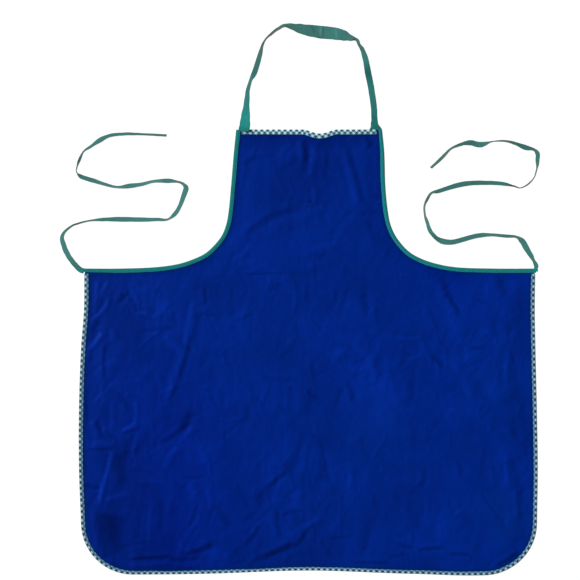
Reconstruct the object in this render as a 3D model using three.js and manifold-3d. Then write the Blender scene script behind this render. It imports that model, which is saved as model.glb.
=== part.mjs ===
// A bib apron lying flat, face up: one blue cloth panel, checked tape folded over the bib's top and
// round the skirt, green tape folded over both armholes, a neck strap and two waist ties.
// Millimetres, +Z up, +Y towards the neck. The origin is on the floor under the apron's middle.

import * as THREE from "three";
import { mergeVertices } from "three/addons/utils/BufferGeometryUtils.js";
import Module from "manifold-3d";

const wasm = await Module();
wasm.setup();

// Sizes of the apron, over its tapes
const SKIRT_WIDTH = 804;
const SKIRT_DEPTH = 537;
const BIB_WIDTH = 256;
const BIB_SHIFT = 2;
const BIB_DEPTH = 244;
const STRAP_REACH = 188;
const CORNER_RADIUS = 91;
const HEM_RISE = 7;
const HEM_RISE_SPAN = 140;
const BIB_DIP = 7;
const BIB_DIP_SPAN = 30;
const BIB_DIP_PLACE = 21;

// Sizes of the cloth and the tapes
const CLOTH = 1;
const CLOTH_STEP = 24;
const FOLD_HEIGHT = 5;
const FOLD_SPREAD = 42;
const LEAF = 1;
const CLEARANCE = 0.3;
const TRIM_WIDTH = 9;
const BINDING_WIDTH = 9;
const TAPE_EDGE_ROUND = 0.8;
const STRAP_OPEN_WIDTH = 22;
const STRAP_FOLDED_WIDTH = 10;
const TIE_WIDTH = 9;
const TIE_THICKNESS = 2;

// Steps along each swept piece
const BIB_TOP_STEPS = 26;
const ARMHOLE_STEPS = 36;
const SIDE_STEPS = 12;
const CORNER_STEPS = 10;
const HEM_STEPS = 30;
const STRAP_STEPS_A_ROW = 3;
const TIE_STEPS_A_ROW = 3;

// Places and heights worked out from them
const HEM_Y = -(STRAP_REACH + BIB_DEPTH + SKIRT_DEPTH) / 2;
const WAIST_Y = HEM_Y + SKIRT_DEPTH;
const BIB_TOP_Y = WAIST_Y + BIB_DEPTH;
const SEAT = LEAF + CLEARANCE;
const TAPE_HEIGHT = 2 * SEAT + CLOTH;
const BESIDE_BINDING = BINDING_WIDTH + CLEARANCE;

// The skirt's sides, from under the binding to the rounded corner. along is a share of that length,
// left and right are shares of half the skirt's width.
const SIDES = [
  { along: 0.0, left: 0.977, right: 0.992 },
  { along: 0.14, left: 0.978, right: 0.99 },
  { along: 0.3, left: 0.991, right: 0.993 },
  { along: 0.54, left: 1.0, right: 0.999 },
  { along: 0.78, left: 1.0, right: 1.003 },
  { along: 1.0, left: 0.991, right: 1.0 },
];

// The armholes, from the bib's corner to the waist corner. down is a share of the bib's depth,
// left and right are shares of the way across from the bib's corner to the waist corner.
const ARMHOLES = [
  { down: 0.0, left: 0.0, right: 0.0 },
  { down: 0.16, left: 0.015, right: 0.014 },
  { down: 0.42, left: 0.035, right: 0.022 },
  { down: 0.59, left: 0.05, right: 0.038 },
  { down: 0.68, left: 0.065, right: 0.054 },
  { down: 0.765, left: 0.096, right: 0.088 },
  { down: 0.85, left: 0.16, right: 0.148 },
  { down: 0.895, left: 0.21, right: 0.197 },
  { down: 0.937, left: 0.293, right: 0.274 },
  { down: 0.968, left: 0.385, right: 0.365 },
  { down: 0.99, left: 0.53, right: 0.48 },
  { down: 1.0, left: 0.76, right: 0.73 },
  { down: 1.0, left: 1.0, right: 1.0 },
];

// The main folds of the cloth. across is a share of half the skirt's width, down a share of the
// depth from bib top to hem, spread a share of FOLD_SPREAD and height a share of FOLD_HEIGHT.
const FOLDS = [
  { across: 0.012, down: 0.05, toAcross: 0.03, toDown: 0.24, spread: 0.8, height: 0.7 },
  { across: -0.8, down: 0.39, toAcross: -0.88, toDown: 0.5, spread: 0.9, height: 0.8 },
  { across: -0.47, down: 0.45, toAcross: -0.57, toDown: 0.63, spread: 1.1, height: 0.7 },
  { across: -0.5, down: 0.67, toAcross: -0.7, toDown: 0.75, spread: 0.9, height: 0.8 },
  { across: -0.82, down: 0.71, toAcross: -0.9, toDown: 0.86, spread: 1.0, height: 1.0 },
  { across: -0.08, down: 0.78, toAcross: -0.2, toDown: 0.86, spread: 0.9, height: 0.6 },
  { across: 0.0, down: 0.87, toAcross: -0.18, toDown: 0.94, spread: 0.8, height: 0.5 },
  { across: 0.55, down: 0.36, toAcross: 0.62, toDown: 0.46, spread: 0.9, height: 0.5 },
  { across: 0.5, down: 0.58, toAcross: 0.64, toDown: 0.5, spread: 0.8, height: 0.4 },
  { across: 0.78, down: 0.8, toAcross: 0.86, toDown: 0.91, spread: 1.0, height: 0.7 },
];

// The neck strap, from the bib's left corner over the top to its right corner. across is a share of
// half the bib's width and up a share of STRAP_REACH. open goes from 0, folded in half, to 1, opened
// flat, and roll turns the tape about its own length, in degrees.
const STRAP = [
  { across: -0.885, up: 0.0, open: 0.8, roll: 0 },
  { across: -0.885, up: 0.05, open: 0.6, roll: 0 },
  { across: -0.88, up: 0.12, open: 0.2, roll: 0 },
  { across: -0.867, up: 0.24, open: 0.0, roll: 10 },
  { across: -0.847, up: 0.365, open: 0.0, roll: 60 },
  { across: -0.816, up: 0.45, open: 0.0, roll: 60 },
  { across: -0.77, up: 0.53, open: 0.0, roll: 20 },
  { across: -0.723, up: 0.61, open: 0.0, roll: 10 },
  { across: -0.688, up: 0.7, open: 0.0, roll: 45 },
  { across: -0.647, up: 0.78, open: 0.0, roll: 80 },
  { across: -0.609, up: 0.84, open: 0.0, roll: 85 },
  { across: -0.53, up: 0.9, open: 0.0, roll: 85 },
  { across: -0.435, up: 0.95, open: 0.0, roll: 75 },
  { across: -0.33, up: 0.975, open: 0.0, roll: 60 },
  { across: -0.226, up: 0.965, open: 0.05, roll: 30 },
  { across: -0.116, up: 0.94, open: 0.5, roll: 10 },
  { across: 0.034, up: 0.925, open: 0.8, roll: 0 },
  { across: 0.194, up: 0.915, open: 1.0, roll: 0 },
  { across: 0.364, up: 0.9, open: 1.0, roll: 0 },
  { across: 0.474, up: 0.88, open: 0.85, roll: 0 },
  { across: 0.564, up: 0.857, open: 0.2, roll: 20 },
  { across: 0.644, up: 0.835, open: 0.0, roll: 60 },
  { across: 0.7, up: 0.795, open: 0.0, roll: 80 },
  { across: 0.74, up: 0.74, open: 0.0, roll: 65 },
  { across: 0.776, up: 0.655, open: 0.0, roll: 35 },
  { across: 0.812, up: 0.53, open: 0.0, roll: 5 },
  { across: 0.852, up: 0.37, open: 0.0, roll: 0 },
  { across: 0.884, up: 0.2, open: 0.0, roll: 10 },
  { across: 0.892, up: 0.1, open: 0.05, roll: 0 },
  { across: 0.903, up: 0.045, open: 0.5, roll: 0 },
  { across: 0.915, up: 0.0, open: 0.9, roll: 0 },
];

// The waist ties as they lie, in millimetres out from the waist corner and up from the binding's
// middle. roll turns the tape from flat towards its edge, in degrees.
const LEFT_TIE = [
  { out: 0, up: 0, roll: 25 },
  { out: 6, up: 3, roll: 30 },
  { out: 15, up: 13, roll: 45 },
  { out: 24, up: 23, roll: 45 },
  { out: 32, up: 32, roll: 40 },
  { out: 39, up: 46, roll: 50 },
  { out: 42, up: 60, roll: 75 },
  { out: 35, up: 73, roll: 85 },
  { out: 15, up: 83, roll: 70 },
  { out: -10, up: 88, roll: 30 },
  { out: -36, up: 91, roll: 5 },
  { out: -66, up: 91, roll: 0 },
  { out: -98, up: 91, roll: 0 },
  { out: -126, up: 90, roll: 20 },
  { out: -147, up: 93, roll: 40 },
  { out: -159, up: 102, roll: 30 },
  { out: -167, up: 114, roll: 10 },
  { out: -173, up: 130, roll: 0 },
  { out: -179, up: 144, roll: 20 },
  { out: -180, up: 153, roll: 75 },
  { out: -166, up: 157, roll: 60 },
  { out: -147, up: 159, roll: 30 },
  { out: -122, up: 158, roll: 20 },
  { out: -101, up: 154, roll: 30 },
  { out: -80, up: 150, roll: 10 },
  { out: -57, up: 148, roll: 70 },
  { out: -34, up: 154, roll: 40 },
  { out: -13, up: 160, roll: 10 },
  { out: 5, up: 165, roll: 20 },
  { out: 15, up: 172, roll: 70 },
  { out: 15, up: 183, roll: 85 },
  { out: 10, up: 195, roll: 80 },
  { out: 2, up: 211, roll: 50 },
  { out: -11, up: 221, roll: 30 },
  { out: -27, up: 231, roll: 30 },
  { out: -45, up: 239, roll: 40 },
  { out: -73, up: 242, roll: 60 },
  { out: -106, up: 241, roll: 75 },
  { out: -141, up: 239, roll: 80 },
];
const RIGHT_TIE = [
  { out: 0, up: 0, roll: 60 },
  { out: 4, up: 1, roll: 75 },
  { out: 6.5, up: 6, roll: 80 },
  { out: 4, up: 13, roll: 75 },
  { out: -1, up: 20.5, roll: 55 },
  { out: -8, up: 30, roll: 35 },
  { out: -15, up: 43, roll: 30 },
  { out: -22, up: 54, roll: 50 },
  { out: -33, up: 61, roll: 75 },
  { out: -52, up: 62, roll: 75 },
  { out: -75, up: 64, roll: 30 },
  { out: -100, up: 63, roll: 10 },
  { out: -145, up: 52, roll: 0 },
  { out: -163, up: 51, roll: 30 },
  { out: -176, up: 60, roll: 45 },
  { out: -184, up: 72, roll: 50 },
  { out: -190, up: 86, roll: 60 },
  { out: -194, up: 100, roll: 85 },
  { out: -194, up: 114, roll: 80 },
  { out: -190, up: 126, roll: 60 },
  { out: -182, up: 136, roll: 60 },
  { out: -170, up: 141, roll: 30 },
  { out: -130, up: 152, roll: 0 },
  { out: -107, up: 155, roll: 0 },
  { out: -58, up: 153, roll: 30 },
  { out: -37, up: 149, roll: 70 },
  { out: -26, up: 147, roll: 85 },
  { out: -14, up: 153, roll: 85 },
  { out: -4, up: 165, roll: 85 },
  { out: 2, up: 178, roll: 50 },
  { out: 6, up: 195, roll: 50 },
  { out: 5, up: 207, roll: 40 },
  { out: -2, up: 214, roll: 60 },
  { out: -17, up: 218, roll: 40 },
  { out: -35, up: 225, roll: 70 },
  { out: -54, up: 229, roll: 80 },
  { out: -75, up: 228, roll: 80 },
  { out: -97, up: 223, roll: 40 },
  { out: -114, up: 226, roll: 30 },
  { out: -130, up: 224, roll: 10 },
  { out: -149, up: 214, roll: 20 },
  { out: -165, up: 199, roll: 30 },
  { out: -181, up: 184, roll: 30 },
];

const degrees = THREE.MathUtils.degToRad;

// How far a hump with a smooth top has risen, from 0 at its foot to 1 in the middle
function hump(distance, span) {
  const share = Math.abs(distance) / span;
  return share < 1 ? (1 - share * share) ** 2 : 0;
}

function sideX(side, row) {
  return (side < 0 ? -row.left : row.right) * (SKIRT_WIDTH / 2);
}

function bibCornerX(side) {
  return BIB_SHIFT + (side * BIB_WIDTH) / 2;
}

function hemRise(x) {
  return HEM_RISE * Math.exp(-((x / HEM_RISE_SPAN) ** 2));
}

function smoothLine(points, steps) {
  const knots = points.map(([x, y]) => new THREE.Vector3(x, y, 0));
  const curve = new THREE.CatmullRomCurve3(knots, false, "centripetal");
  return curve.getSpacedPoints(steps).map((p) => new THREE.Vector2(p.x, p.y));
}

// The lines of the outline run anticlockwise, so the cloth is always on their left. The bindings
// cover the four corners, and the trims' lines begin and end beside them.
function bibTopLine() {
  const start = bibCornerX(1) - BESIDE_BINDING;
  const end = bibCornerX(-1) + BESIDE_BINDING;
  return Array.from({ length: BIB_TOP_STEPS + 1 }, (_, i) => {
    const x = THREE.MathUtils.lerp(start, end, i / BIB_TOP_STEPS);
    return new THREE.Vector2(x, BIB_TOP_Y - BIB_DIP * hump(x - BIB_DIP_PLACE, BIB_DIP_SPAN));
  });
}

function armholeLine(side) {
  const start = bibCornerX(side);
  const end = sideX(side, SIDES[0]);
  const points = ARMHOLES.map((row) => {
    const share = side < 0 ? row.left : row.right;
    return [THREE.MathUtils.lerp(start, end, share), BIB_TOP_Y - row.down * BIB_DEPTH];
  });
  const line = smoothLine(points, ARMHOLE_STEPS);
  return side < 0 ? line : line.reverse();
}

function skirtSideLine(side) {
  const length = SKIRT_DEPTH - BESIDE_BINDING - CORNER_RADIUS;
  return smoothLine(
    SIDES.map((row) => [sideX(side, row), WAIST_Y - BESIDE_BINDING - row.along * length]),
    SIDE_STEPS,
  );
}

function skirtCornerLine(side) {
  const edge = sideX(side, SIDES[SIDES.length - 1]);
  return Array.from({ length: CORNER_STEPS }, (_, i) => {
    const angle = ((i + 1) / CORNER_STEPS) * (Math.PI / 2);
    return new THREE.Vector2(
      edge - side * CORNER_RADIUS * (1 - Math.cos(angle)),
      HEM_Y + CORNER_RADIUS * (1 - Math.sin(angle)),
    );
  });
}

function hemLine() {
  const down = [...skirtSideLine(-1), ...skirtCornerLine(-1)];
  const up = [...skirtSideLine(1), ...skirtCornerLine(1)].reverse();
  const start = down[down.length - 1];
  const flat = Array.from({ length: HEM_STEPS - 1 }, (_, i) =>
    start.clone().lerp(up[0], (i + 1) / HEM_STEPS),
  );
  const line = [...down, ...flat, ...up];
  for (const point of line) {
    const lowness = 1 - THREE.MathUtils.smoothstep(point.y, HEM_Y, HEM_Y + CORNER_RADIUS);
    point.y += lowness * hemRise(point.x);
  }
  return line;
}

// Unit vectors to the left of the line at each of its points, which is towards the cloth
function inwardNormals(line) {
  return line.map((_, i) => {
    const before = line[Math.max(i - 1, 0)];
    const after = line[Math.min(i + 1, line.length - 1)];
    const along = after.clone().sub(before).normalize();
    return new THREE.Vector2(-along.y, along.x);
  });
}

function signedVolume(geometry) {
  const { position } = geometry.attributes;
  const { index } = geometry;
  const corner = [new THREE.Vector3(), new THREE.Vector3(), new THREE.Vector3()];
  let sum = 0;
  for (let i = 0; i < index.count; i += 3) {
    corner.forEach((v, k) => v.fromBufferAttribute(position, index.getX(i + k)));
    sum += corner[0].dot(corner[1].cross(corner[2]));
  }
  return sum / 6;
}

function closedGeometry(vertices, triangles) {
  const geometry = new THREE.BufferGeometry();
  geometry.setAttribute("position", new THREE.Float32BufferAttribute(vertices.flat(), 3));
  geometry.setIndex(triangles.flat());
  if (signedVolume(geometry) < 0) {
    geometry.setIndex(triangles.map(([a, b, c]) => [a, c, b]).flat());
  }
  geometry.computeVertexNormals();
  return geometry;
}

// A closed skin over a row of sections. Each station has a place, the unit vector its section's
// first axis follows on the floor, and a section of as many [across, height] points as the others.
function sweptGeometry(stations) {
  const count = stations[0].section.length;
  const vertices = stations.flatMap(({ place, axis, section }) =>
    section.map(([across, height]) => [
      place.x + axis.x * across,
      place.y + axis.y * across,
      height,
    ]),
  );
  const triangles = [];
  for (let i = 0; i + 1 < stations.length; i++) {
    for (let k = 0; k < count; k++) {
      const next = (k + 1) % count;
      const a = i * count + k;
      const b = i * count + next;
      triangles.push([a, b, b + count], [a, b + count, a + count]);
    }
  }
  const capOf = ({ section }) =>
    THREE.ShapeUtils.triangulateShape(
      section.map(([x, y]) => new THREE.Vector2(x, y)),
      [],
    );
  const last = (stations.length - 1) * count;
  const start = capOf(stations[0]);
  const end = capOf(stations[stations.length - 1]);
  const turnsLeft = THREE.ShapeUtils.area(
    stations[0].section.map(([x, y]) => new THREE.Vector2(x, y)),
  );
  const startCap = start.map(([a, b, c]) => (turnsLeft > 0 ? [a, c, b] : [a, b, c]));
  const endCap = end.map(([a, b, c]) =>
    turnsLeft > 0 ? [last + a, last + b, last + c] : [last + a, last + c, last + b],
  );
  return closedGeometry(vertices, [...triangles, ...startCap, ...endCap]);
}

// Tape folded over a cloth edge, from the lower leaf's inner end round the fold to the upper leaf's
function foldedTapeSection(width) {
  const round = TAPE_EDGE_ROUND;
  return [
    [width, 0],
    [round, 0],
    [0, round],
    [0, TAPE_HEIGHT - round],
    [round, TAPE_HEIGHT],
    [width, TAPE_HEIGHT],
    [width, TAPE_HEIGHT - LEAF],
    [LEAF, TAPE_HEIGHT - LEAF],
    [LEAF, LEAF],
    [width, LEAF],
  ];
}

function edgeTape(line, width) {
  const normals = inwardNormals(line);
  const section = foldedTapeSection(width);
  return sweptGeometry(line.map((place, i) => ({ place, axis: normals[i], section })));
}

// A section turned by roll, centred over its path and set down on the floor
function laidSection(section, roll) {
  const turned = section.map(([x, y]) => [
    x * Math.cos(roll) - y * Math.sin(roll),
    x * Math.sin(roll) + y * Math.cos(roll),
  ]);
  const xs = turned.map(([x]) => x);
  const middle = (Math.min(...xs) + Math.max(...xs)) / 2;
  const lowest = Math.min(...turned.map(([, y]) => y));
  return turned.map(([x, y]) => [x - middle, y - lowest]);
}

function stripSection(width, thickness) {
  return [
    [-width / 2, 0],
    [width / 2, 0],
    [width / 2, thickness],
    [-width / 2, thickness],
  ];
}

// The strap's tape, as wide and thin as it lies open
function strapSection(open) {
  return stripSection(
    THREE.MathUtils.lerp(STRAP_FOLDED_WIDTH, STRAP_OPEN_WIDTH, open),
    THREE.MathUtils.lerp(2 * LEAF + CLEARANCE, LEAF, open),
  );
}

// Stations along a smooth path through the rows of a table, with the rows' values eased between them
function pathStations(rows, stepsARow, placeOf, sectionOf) {
  const knots = rows.map((row) => new THREE.Vector3(...placeOf(row), 0));
  const curve = new THREE.CatmullRomCurve3(knots, false, "centripetal");
  const steps = (rows.length - 1) * stepsARow;
  return Array.from({ length: steps + 1 }, (_, i) => {
    const before = rows[Math.floor(i / stepsARow)];
    const after = rows[Math.min(Math.floor(i / stepsARow) + 1, rows.length - 1)];
    const share = THREE.MathUtils.smoothstep((i % stepsARow) / stepsARow, 0, 1);
    const value = (name) => THREE.MathUtils.lerp(before[name], after[name], share);
    const place = curve.getPoint(i / steps);
    const along = curve.getTangent(i / steps);
    const axis = new THREE.Vector2(-along.y, along.x).normalize();
    return { place, axis, section: sectionOf(value) };
  });
}

// Ends that butt on another piece face it squarely
function squareEnd(station, facing) {
  station.axis = new THREE.Vector2(-facing[1], facing[0]);
}

function strapGeometry() {
  const seat = BIB_TOP_Y + CLEARANCE;
  const stations = pathStations(
    STRAP,
    STRAP_STEPS_A_ROW,
    (row) => [BIB_SHIFT + (row.across * BIB_WIDTH) / 2, seat + row.up * (STRAP_REACH - CLEARANCE)],
    (value) => laidSection(strapSection(value("open")), degrees(value("roll"))),
  );
  squareEnd(stations[0], [0, 1]);
  squareEnd(stations[stations.length - 1], [0, -1]);
  return sweptGeometry(stations);
}

function tieGeometry(side, rows) {
  const rootX = sideX(side, SIDES[0]) + side * CLEARANCE;
  const rootY = WAIST_Y - BINDING_WIDTH / 2;
  const stations = pathStations(
    rows,
    TIE_STEPS_A_ROW,
    (row) => [rootX + side * row.out, rootY + row.up],
    (value) => laidSection(stripSection(TIE_WIDTH, TIE_THICKNESS), side * degrees(value("roll"))),
  );
  squareEnd(stations[0], [side, 0]);
  return sweptGeometry(stations);
}

function distanceToLine(x, y, line) {
  let nearest = Infinity;
  for (let i = 0; i < line.length; i++) {
    const a = line[i];
    const b = line[(i + 1) % line.length];
    const dx = b.x - a.x;
    const dy = b.y - a.y;
    const share = THREE.MathUtils.clamp(
      ((x - a.x) * dx + (y - a.y) * dy) / (dx * dx + dy * dy),
      0,
      1,
    );
    nearest = Math.min(nearest, Math.hypot(x - a.x - share * dx, y - a.y - share * dy));
  }
  return nearest;
}

function isInside(x, y, line) {
  let inside = false;
  line.forEach((a, i) => {
    const b = line[(i + 1) % line.length];
    if (a.y > y !== b.y > y && x < a.x + ((y - a.y) * (b.x - a.x)) / (b.y - a.y)) {
      inside = !inside;
    }
  });
  return inside;
}

function foldHeight(x, y) {
  const depth = BIB_DEPTH + SKIRT_DEPTH;
  let height = 0;
  for (const fold of FOLDS) {
    const ax = fold.across * (SKIRT_WIDTH / 2);
    const ay = BIB_TOP_Y - fold.down * depth;
    const bx = fold.toAcross * (SKIRT_WIDTH / 2);
    const by = BIB_TOP_Y - fold.toDown * depth;
    const length = Math.hypot(bx - ax, by - ay);
    const along = ((x - ax) * (bx - ax) + (y - ay) * (by - ay)) / length;
    const aside = ((x - ax) * (by - ay) - (y - ay) * (bx - ax)) / length;
    const crest = hump(along - length / 2, length / 2 + FOLD_SPREAD / 2);
    height += fold.height * FOLD_HEIGHT * crest * hump(aside, fold.spread * FOLD_SPREAD);
  }
  return height;
}

// The cloth's underside: level between the tapes' leaves all round the edge, down on the floor
// further in, and raised along the folds
function undersideHeight(x, y, outline) {
  const level = Math.max(TRIM_WIDTH, BINDING_WIDTH) + CLOTH_STEP * Math.SQRT2;
  const inward = isInside(x, y, outline) ? distanceToLine(x, y, outline) : 0;
  const share = THREE.MathUtils.smoothstep(inward, level, level + 2 * CLOTH_STEP);
  return SEAT * (1 - share) + share * foldHeight(x, y);
}

// A slab of cloth over the whole outline's box, on a square grid
function clothSlab(outline) {
  const box = new THREE.Box2().setFromPoints(outline).expandByScalar(CLOTH_STEP / 2);
  const size = box.getSize(new THREE.Vector2());
  const columns = Math.ceil(size.x / CLOTH_STEP);
  const rows = Math.ceil(size.y / CLOTH_STEP);
  const below = [];
  for (let j = 0; j <= rows; j++) {
    for (let i = 0; i <= columns; i++) {
      const x = box.min.x + (size.x * i) / columns;
      const y = box.min.y + (size.y * j) / rows;
      below.push([x, y, undersideHeight(x, y, outline)]);
    }
  }
  const above = below.map(([x, y, z]) => [x, y, z + CLOTH]);
  const at = (i, j) => j * (columns + 1) + i;
  const top = below.length;
  const triangles = [];
  for (let j = 0; j < rows; j++) {
    for (let i = 0; i < columns; i++) {
      const [a, b, c, d] = [at(i, j), at(i + 1, j), at(i + 1, j + 1), at(i, j + 1)];
      const even = (i + j) % 2 === 0;
      const halves = even ? [[a, b, c], [a, c, d]] : [[a, b, d], [b, c, d]];
      for (const [p, q, r] of halves) {
        triangles.push([p, r, q], [top + p, top + q, top + r]);
      }
    }
  }
  const rim = [];
  for (let i = 0; i < columns; i++) rim.push([at(i, 0), at(i + 1, 0)]);
  for (let j = 0; j < rows; j++) rim.push([at(columns, j), at(columns, j + 1)]);
  for (let i = columns; i > 0; i--) rim.push([at(i, rows), at(i - 1, rows)]);
  for (let j = rows; j > 0; j--) rim.push([at(0, j), at(0, j - 1)]);
  for (const [p, q] of rim) triangles.push([p, q, top + q], [p, top + q, top + p]);
  return closedGeometry([...below, ...above], triangles);
}

// The cloth's own cut edge, a seat's depth inside the tapes' folds, with square corners where the
// stretches of the outline meet
function cutOutline(stretches) {
  const inset = SEAT;
  const points = [];
  stretches.forEach((line, s) => {
    const normals = inwardNormals(line);
    const following = stretches[(s + 1) % stretches.length];
    const nextNormal = inwardNormals(following)[0];
    line.forEach((point, i) => {
      if (i === 0) return;
      const moved = point.clone().addScaledVector(normals[i], inset);
      if (i === line.length - 1) moved.addScaledVector(nextNormal, inset);
      points.push(moved);
    });
  });
  return points;
}

function toManifold(geometry) {
  const bare = geometry.clone();
  bare.deleteAttribute("normal");
  bare.deleteAttribute("uv");
  const merged = mergeVertices(bare, 1e-4);
  return new wasm.Manifold(
    new wasm.Mesh({
      numProp: 3,
      vertProperties: new Float32Array(merged.attributes.position.array),
      triVerts: new Uint32Array(merged.index.array),
    }),
  );
}

function fromManifold(solid) {
  const mesh = solid.getMesh();
  const geometry = new THREE.BufferGeometry();
  geometry.setAttribute("position", new THREE.Float32BufferAttribute(mesh.vertProperties, 3));
  geometry.setIndex(Array.from(mesh.triVerts));
  geometry.computeVertexNormals();
  return geometry;
}

function panelGeometry(stretches) {
  const outline = stretches.flatMap((line) => line.slice(1));
  const cutter = new THREE.ExtrudeGeometry(new THREE.Shape(cutOutline(stretches)), {
    depth: 4 * FOLD_HEIGHT + TAPE_HEIGHT,
    bevelEnabled: false,
  });
  cutter.translate(0, 0, -FOLD_HEIGHT);
  return fromManifold(toManifold(clothSlab(outline)).intersect(toManifold(cutter)));
}

const MATERIALS = {
  cloth: new THREE.MeshStandardMaterial({ color: 0x02227c, roughness: 0.7, metalness: 0 }),
  greenTape: new THREE.MeshStandardMaterial({ color: 0x1d7372, roughness: 0.75, metalness: 0 }),
  checkedTape: new THREE.MeshStandardMaterial({ color: 0x8fb4c8, roughness: 0.8, metalness: 0 }),
};

function piece(name, geometry, material) {
  const mesh = new THREE.Mesh(geometry, material.clone());
  mesh.name = name;
  return mesh;
}

const bibTop = bibTopLine();
const leftArmhole = armholeLine(-1);
const hem = hemLine();
const rightArmhole = armholeLine(1);
const last = (line) => line[line.length - 1];
const bibEdge = [last(rightArmhole), ...bibTop, leftArmhole[0]];
const skirtEdge = [last(leftArmhole), ...hem, rightArmhole[0]];

const apron = new THREE.Group();
apron.add(
  piece(
    "apron_panel",
    panelGeometry([bibEdge, leftArmhole, skirtEdge, rightArmhole]),
    MATERIALS.cloth,
  ),
  piece("bib_top_trim", edgeTape(bibTop, TRIM_WIDTH), MATERIALS.checkedTape),
  piece("hem_trim", edgeTape(hem, TRIM_WIDTH), MATERIALS.checkedTape),
  piece("armhole_binding_left", edgeTape(leftArmhole, BINDING_WIDTH), MATERIALS.greenTape),
  piece("armhole_binding_right", edgeTape(rightArmhole, BINDING_WIDTH), MATERIALS.greenTape),
  piece("neck_strap", strapGeometry(), MATERIALS.greenTape),
  piece("waist_tie_left", tieGeometry(-1, LEFT_TIE), MATERIALS.greenTape),
  piece("waist_tie_right", tieGeometry(1, RIGHT_TIE), MATERIALS.greenTape),
);

export default apron;
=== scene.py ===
"""The looks of a bib apron that lies flat and face up, laid out as a Blender add-on.

A blue cloth panel with creases and crumples, checked bias tape folded over the bib's top and round
the skirt, green bias tape folded over both armholes, a neck strap and two loose waist ties of the
same green tape. Metres, +Z up, +Y towards the neck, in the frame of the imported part.
"""

import math
from typing import NamedTuple

import bpy
import numpy as np
from bpy.props import FloatProperty, FloatVectorProperty, IntProperty, PointerProperty
from bpy.types import NodeSocket, Operator, Panel, PropertyGroup
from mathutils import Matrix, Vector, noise
from mathutils.geometry import delaunay_2d_cdt
from mathutils.kdtree import KDTree


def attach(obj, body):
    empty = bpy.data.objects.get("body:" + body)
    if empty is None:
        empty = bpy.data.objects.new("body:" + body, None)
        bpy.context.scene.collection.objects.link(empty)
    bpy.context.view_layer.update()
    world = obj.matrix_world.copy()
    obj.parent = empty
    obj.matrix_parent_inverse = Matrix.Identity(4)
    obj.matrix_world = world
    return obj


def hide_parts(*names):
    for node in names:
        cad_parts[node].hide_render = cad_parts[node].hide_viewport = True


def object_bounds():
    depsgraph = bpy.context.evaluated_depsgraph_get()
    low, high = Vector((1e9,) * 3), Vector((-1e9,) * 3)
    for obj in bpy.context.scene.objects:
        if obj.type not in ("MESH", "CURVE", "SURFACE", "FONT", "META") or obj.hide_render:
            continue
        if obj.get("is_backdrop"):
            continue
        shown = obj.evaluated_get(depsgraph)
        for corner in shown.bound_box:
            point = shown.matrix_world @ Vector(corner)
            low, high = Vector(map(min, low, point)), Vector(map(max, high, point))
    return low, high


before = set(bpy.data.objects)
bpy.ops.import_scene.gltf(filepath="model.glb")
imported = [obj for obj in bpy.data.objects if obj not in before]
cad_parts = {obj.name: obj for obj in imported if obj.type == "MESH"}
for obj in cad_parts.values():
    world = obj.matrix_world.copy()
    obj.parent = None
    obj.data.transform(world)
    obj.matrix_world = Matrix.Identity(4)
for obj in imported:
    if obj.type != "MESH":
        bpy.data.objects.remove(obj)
FRAME_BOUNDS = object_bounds()

bl_info = {
    "name": "Bib apron laid flat",
    "version": (1, 0, 0),
    "blender": (4, 5, 0),
    "location": "View3D > Sidebar > Apron",
    "description": "Makes the cloth, tapes, strap and ties of a bib apron that lies flat",
    "category": "Object",
}

BODY = "root"
MM = 0.001

# Sizes of the apron over its tapes, as in the part
SKIRT_WIDTH = 804 * MM
SKIRT_DEPTH = 537 * MM
BIB_WIDTH = 256 * MM
BIB_SHIFT = 2 * MM
BIB_DEPTH = 244 * MM
STRAP_REACH = 188 * MM
CORNER_RADIUS = 91 * MM
HEM_RISE = 7 * MM
HEM_RISE_SPAN = 140 * MM
HEM_SAG = 1.8 * MM
HEM_SAG_PLACE = 280 * MM
HEM_SAG_SPAN = 90 * MM
BIB_DIP = 7 * MM
BIB_DIP_SPAN = 30 * MM
BIB_DIP_PLACE = 21 * MM
TAPE_WIDTH = 9 * MM
CLEARANCE = 0.3 * MM
BESIDE_BINDING = TAPE_WIDTH + CLEARANCE
# How far a waist tie reaches past the last place of its route
TIE_OVERHANG = 4 * MM
# How far the armholes' tapes reach past the waist corners, left and right
BINDING_REACH = {-1: 4.5 * MM, 1: 2 * MM}
# How far the strap's ends reach under the bib's top edge
STRAP_TUCK = 3 * MM

HEM_Y = -(STRAP_REACH + BIB_DEPTH + SKIRT_DEPTH) / 2
WAIST_Y = HEM_Y + SKIRT_DEPTH
BIB_TOP_Y = WAIST_Y + BIB_DEPTH

# Spacing of the fine lines that the tapes are swept along
OUTLINE_STEP = 1.5 * MM
LOOSE_STEP = 1.3 * MM
# How far the cloth's cut edge lies inside the fold of the tapes
CUT_INSET = 1.0 * MM
# The least height of anything that lies on the floor
FLOOR_GAP = 0.05 * MM
# A tie's tape before it is folded, and the width over which it counts as a cord
TIE_OPENED = 18.6 * MM
# Every sixth ring of a tie gives a place of its path
PATH_EVERY = 6
# Part of a tape's folded width that the leaf underneath may add
FOLDED_REACH = 1.95
# How much higher a loose tape's middle is than its edges, and how far its seam is from the open edge
CROWN = 0.25 * MM
SEAM_INSET = 1.2 * MM
# Sideways sway of a loose tape, and the length of one wave
SWAY = 0.25 * MM
SWAY_LENGTH = 11 * MM
# What is seen of a tape on edge, and the smallest share of its width that a lean leaves in view
TAPE_EDGE = 0.6 * MM
LEAST_SEEN = 0.2
# Slow changes of a tie's width, as a share of it, and the length of one wave
UNEVEN_SHARE = 0.04
UNEVEN_LENGTH = 16 * MM
# How grey a tie is where it is seen wide, what is added where it is seen thin, and both widths
WIDE_FADE = 0.32
THIN_FADE = 0.6
SEEN_WIDE = 6.5 * MM
SEEN_THIN = 1.5 * MM
# Length over which a tie turns from the binding's clean green to its own worn one
CLEAN_START = 22 * MM
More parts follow.
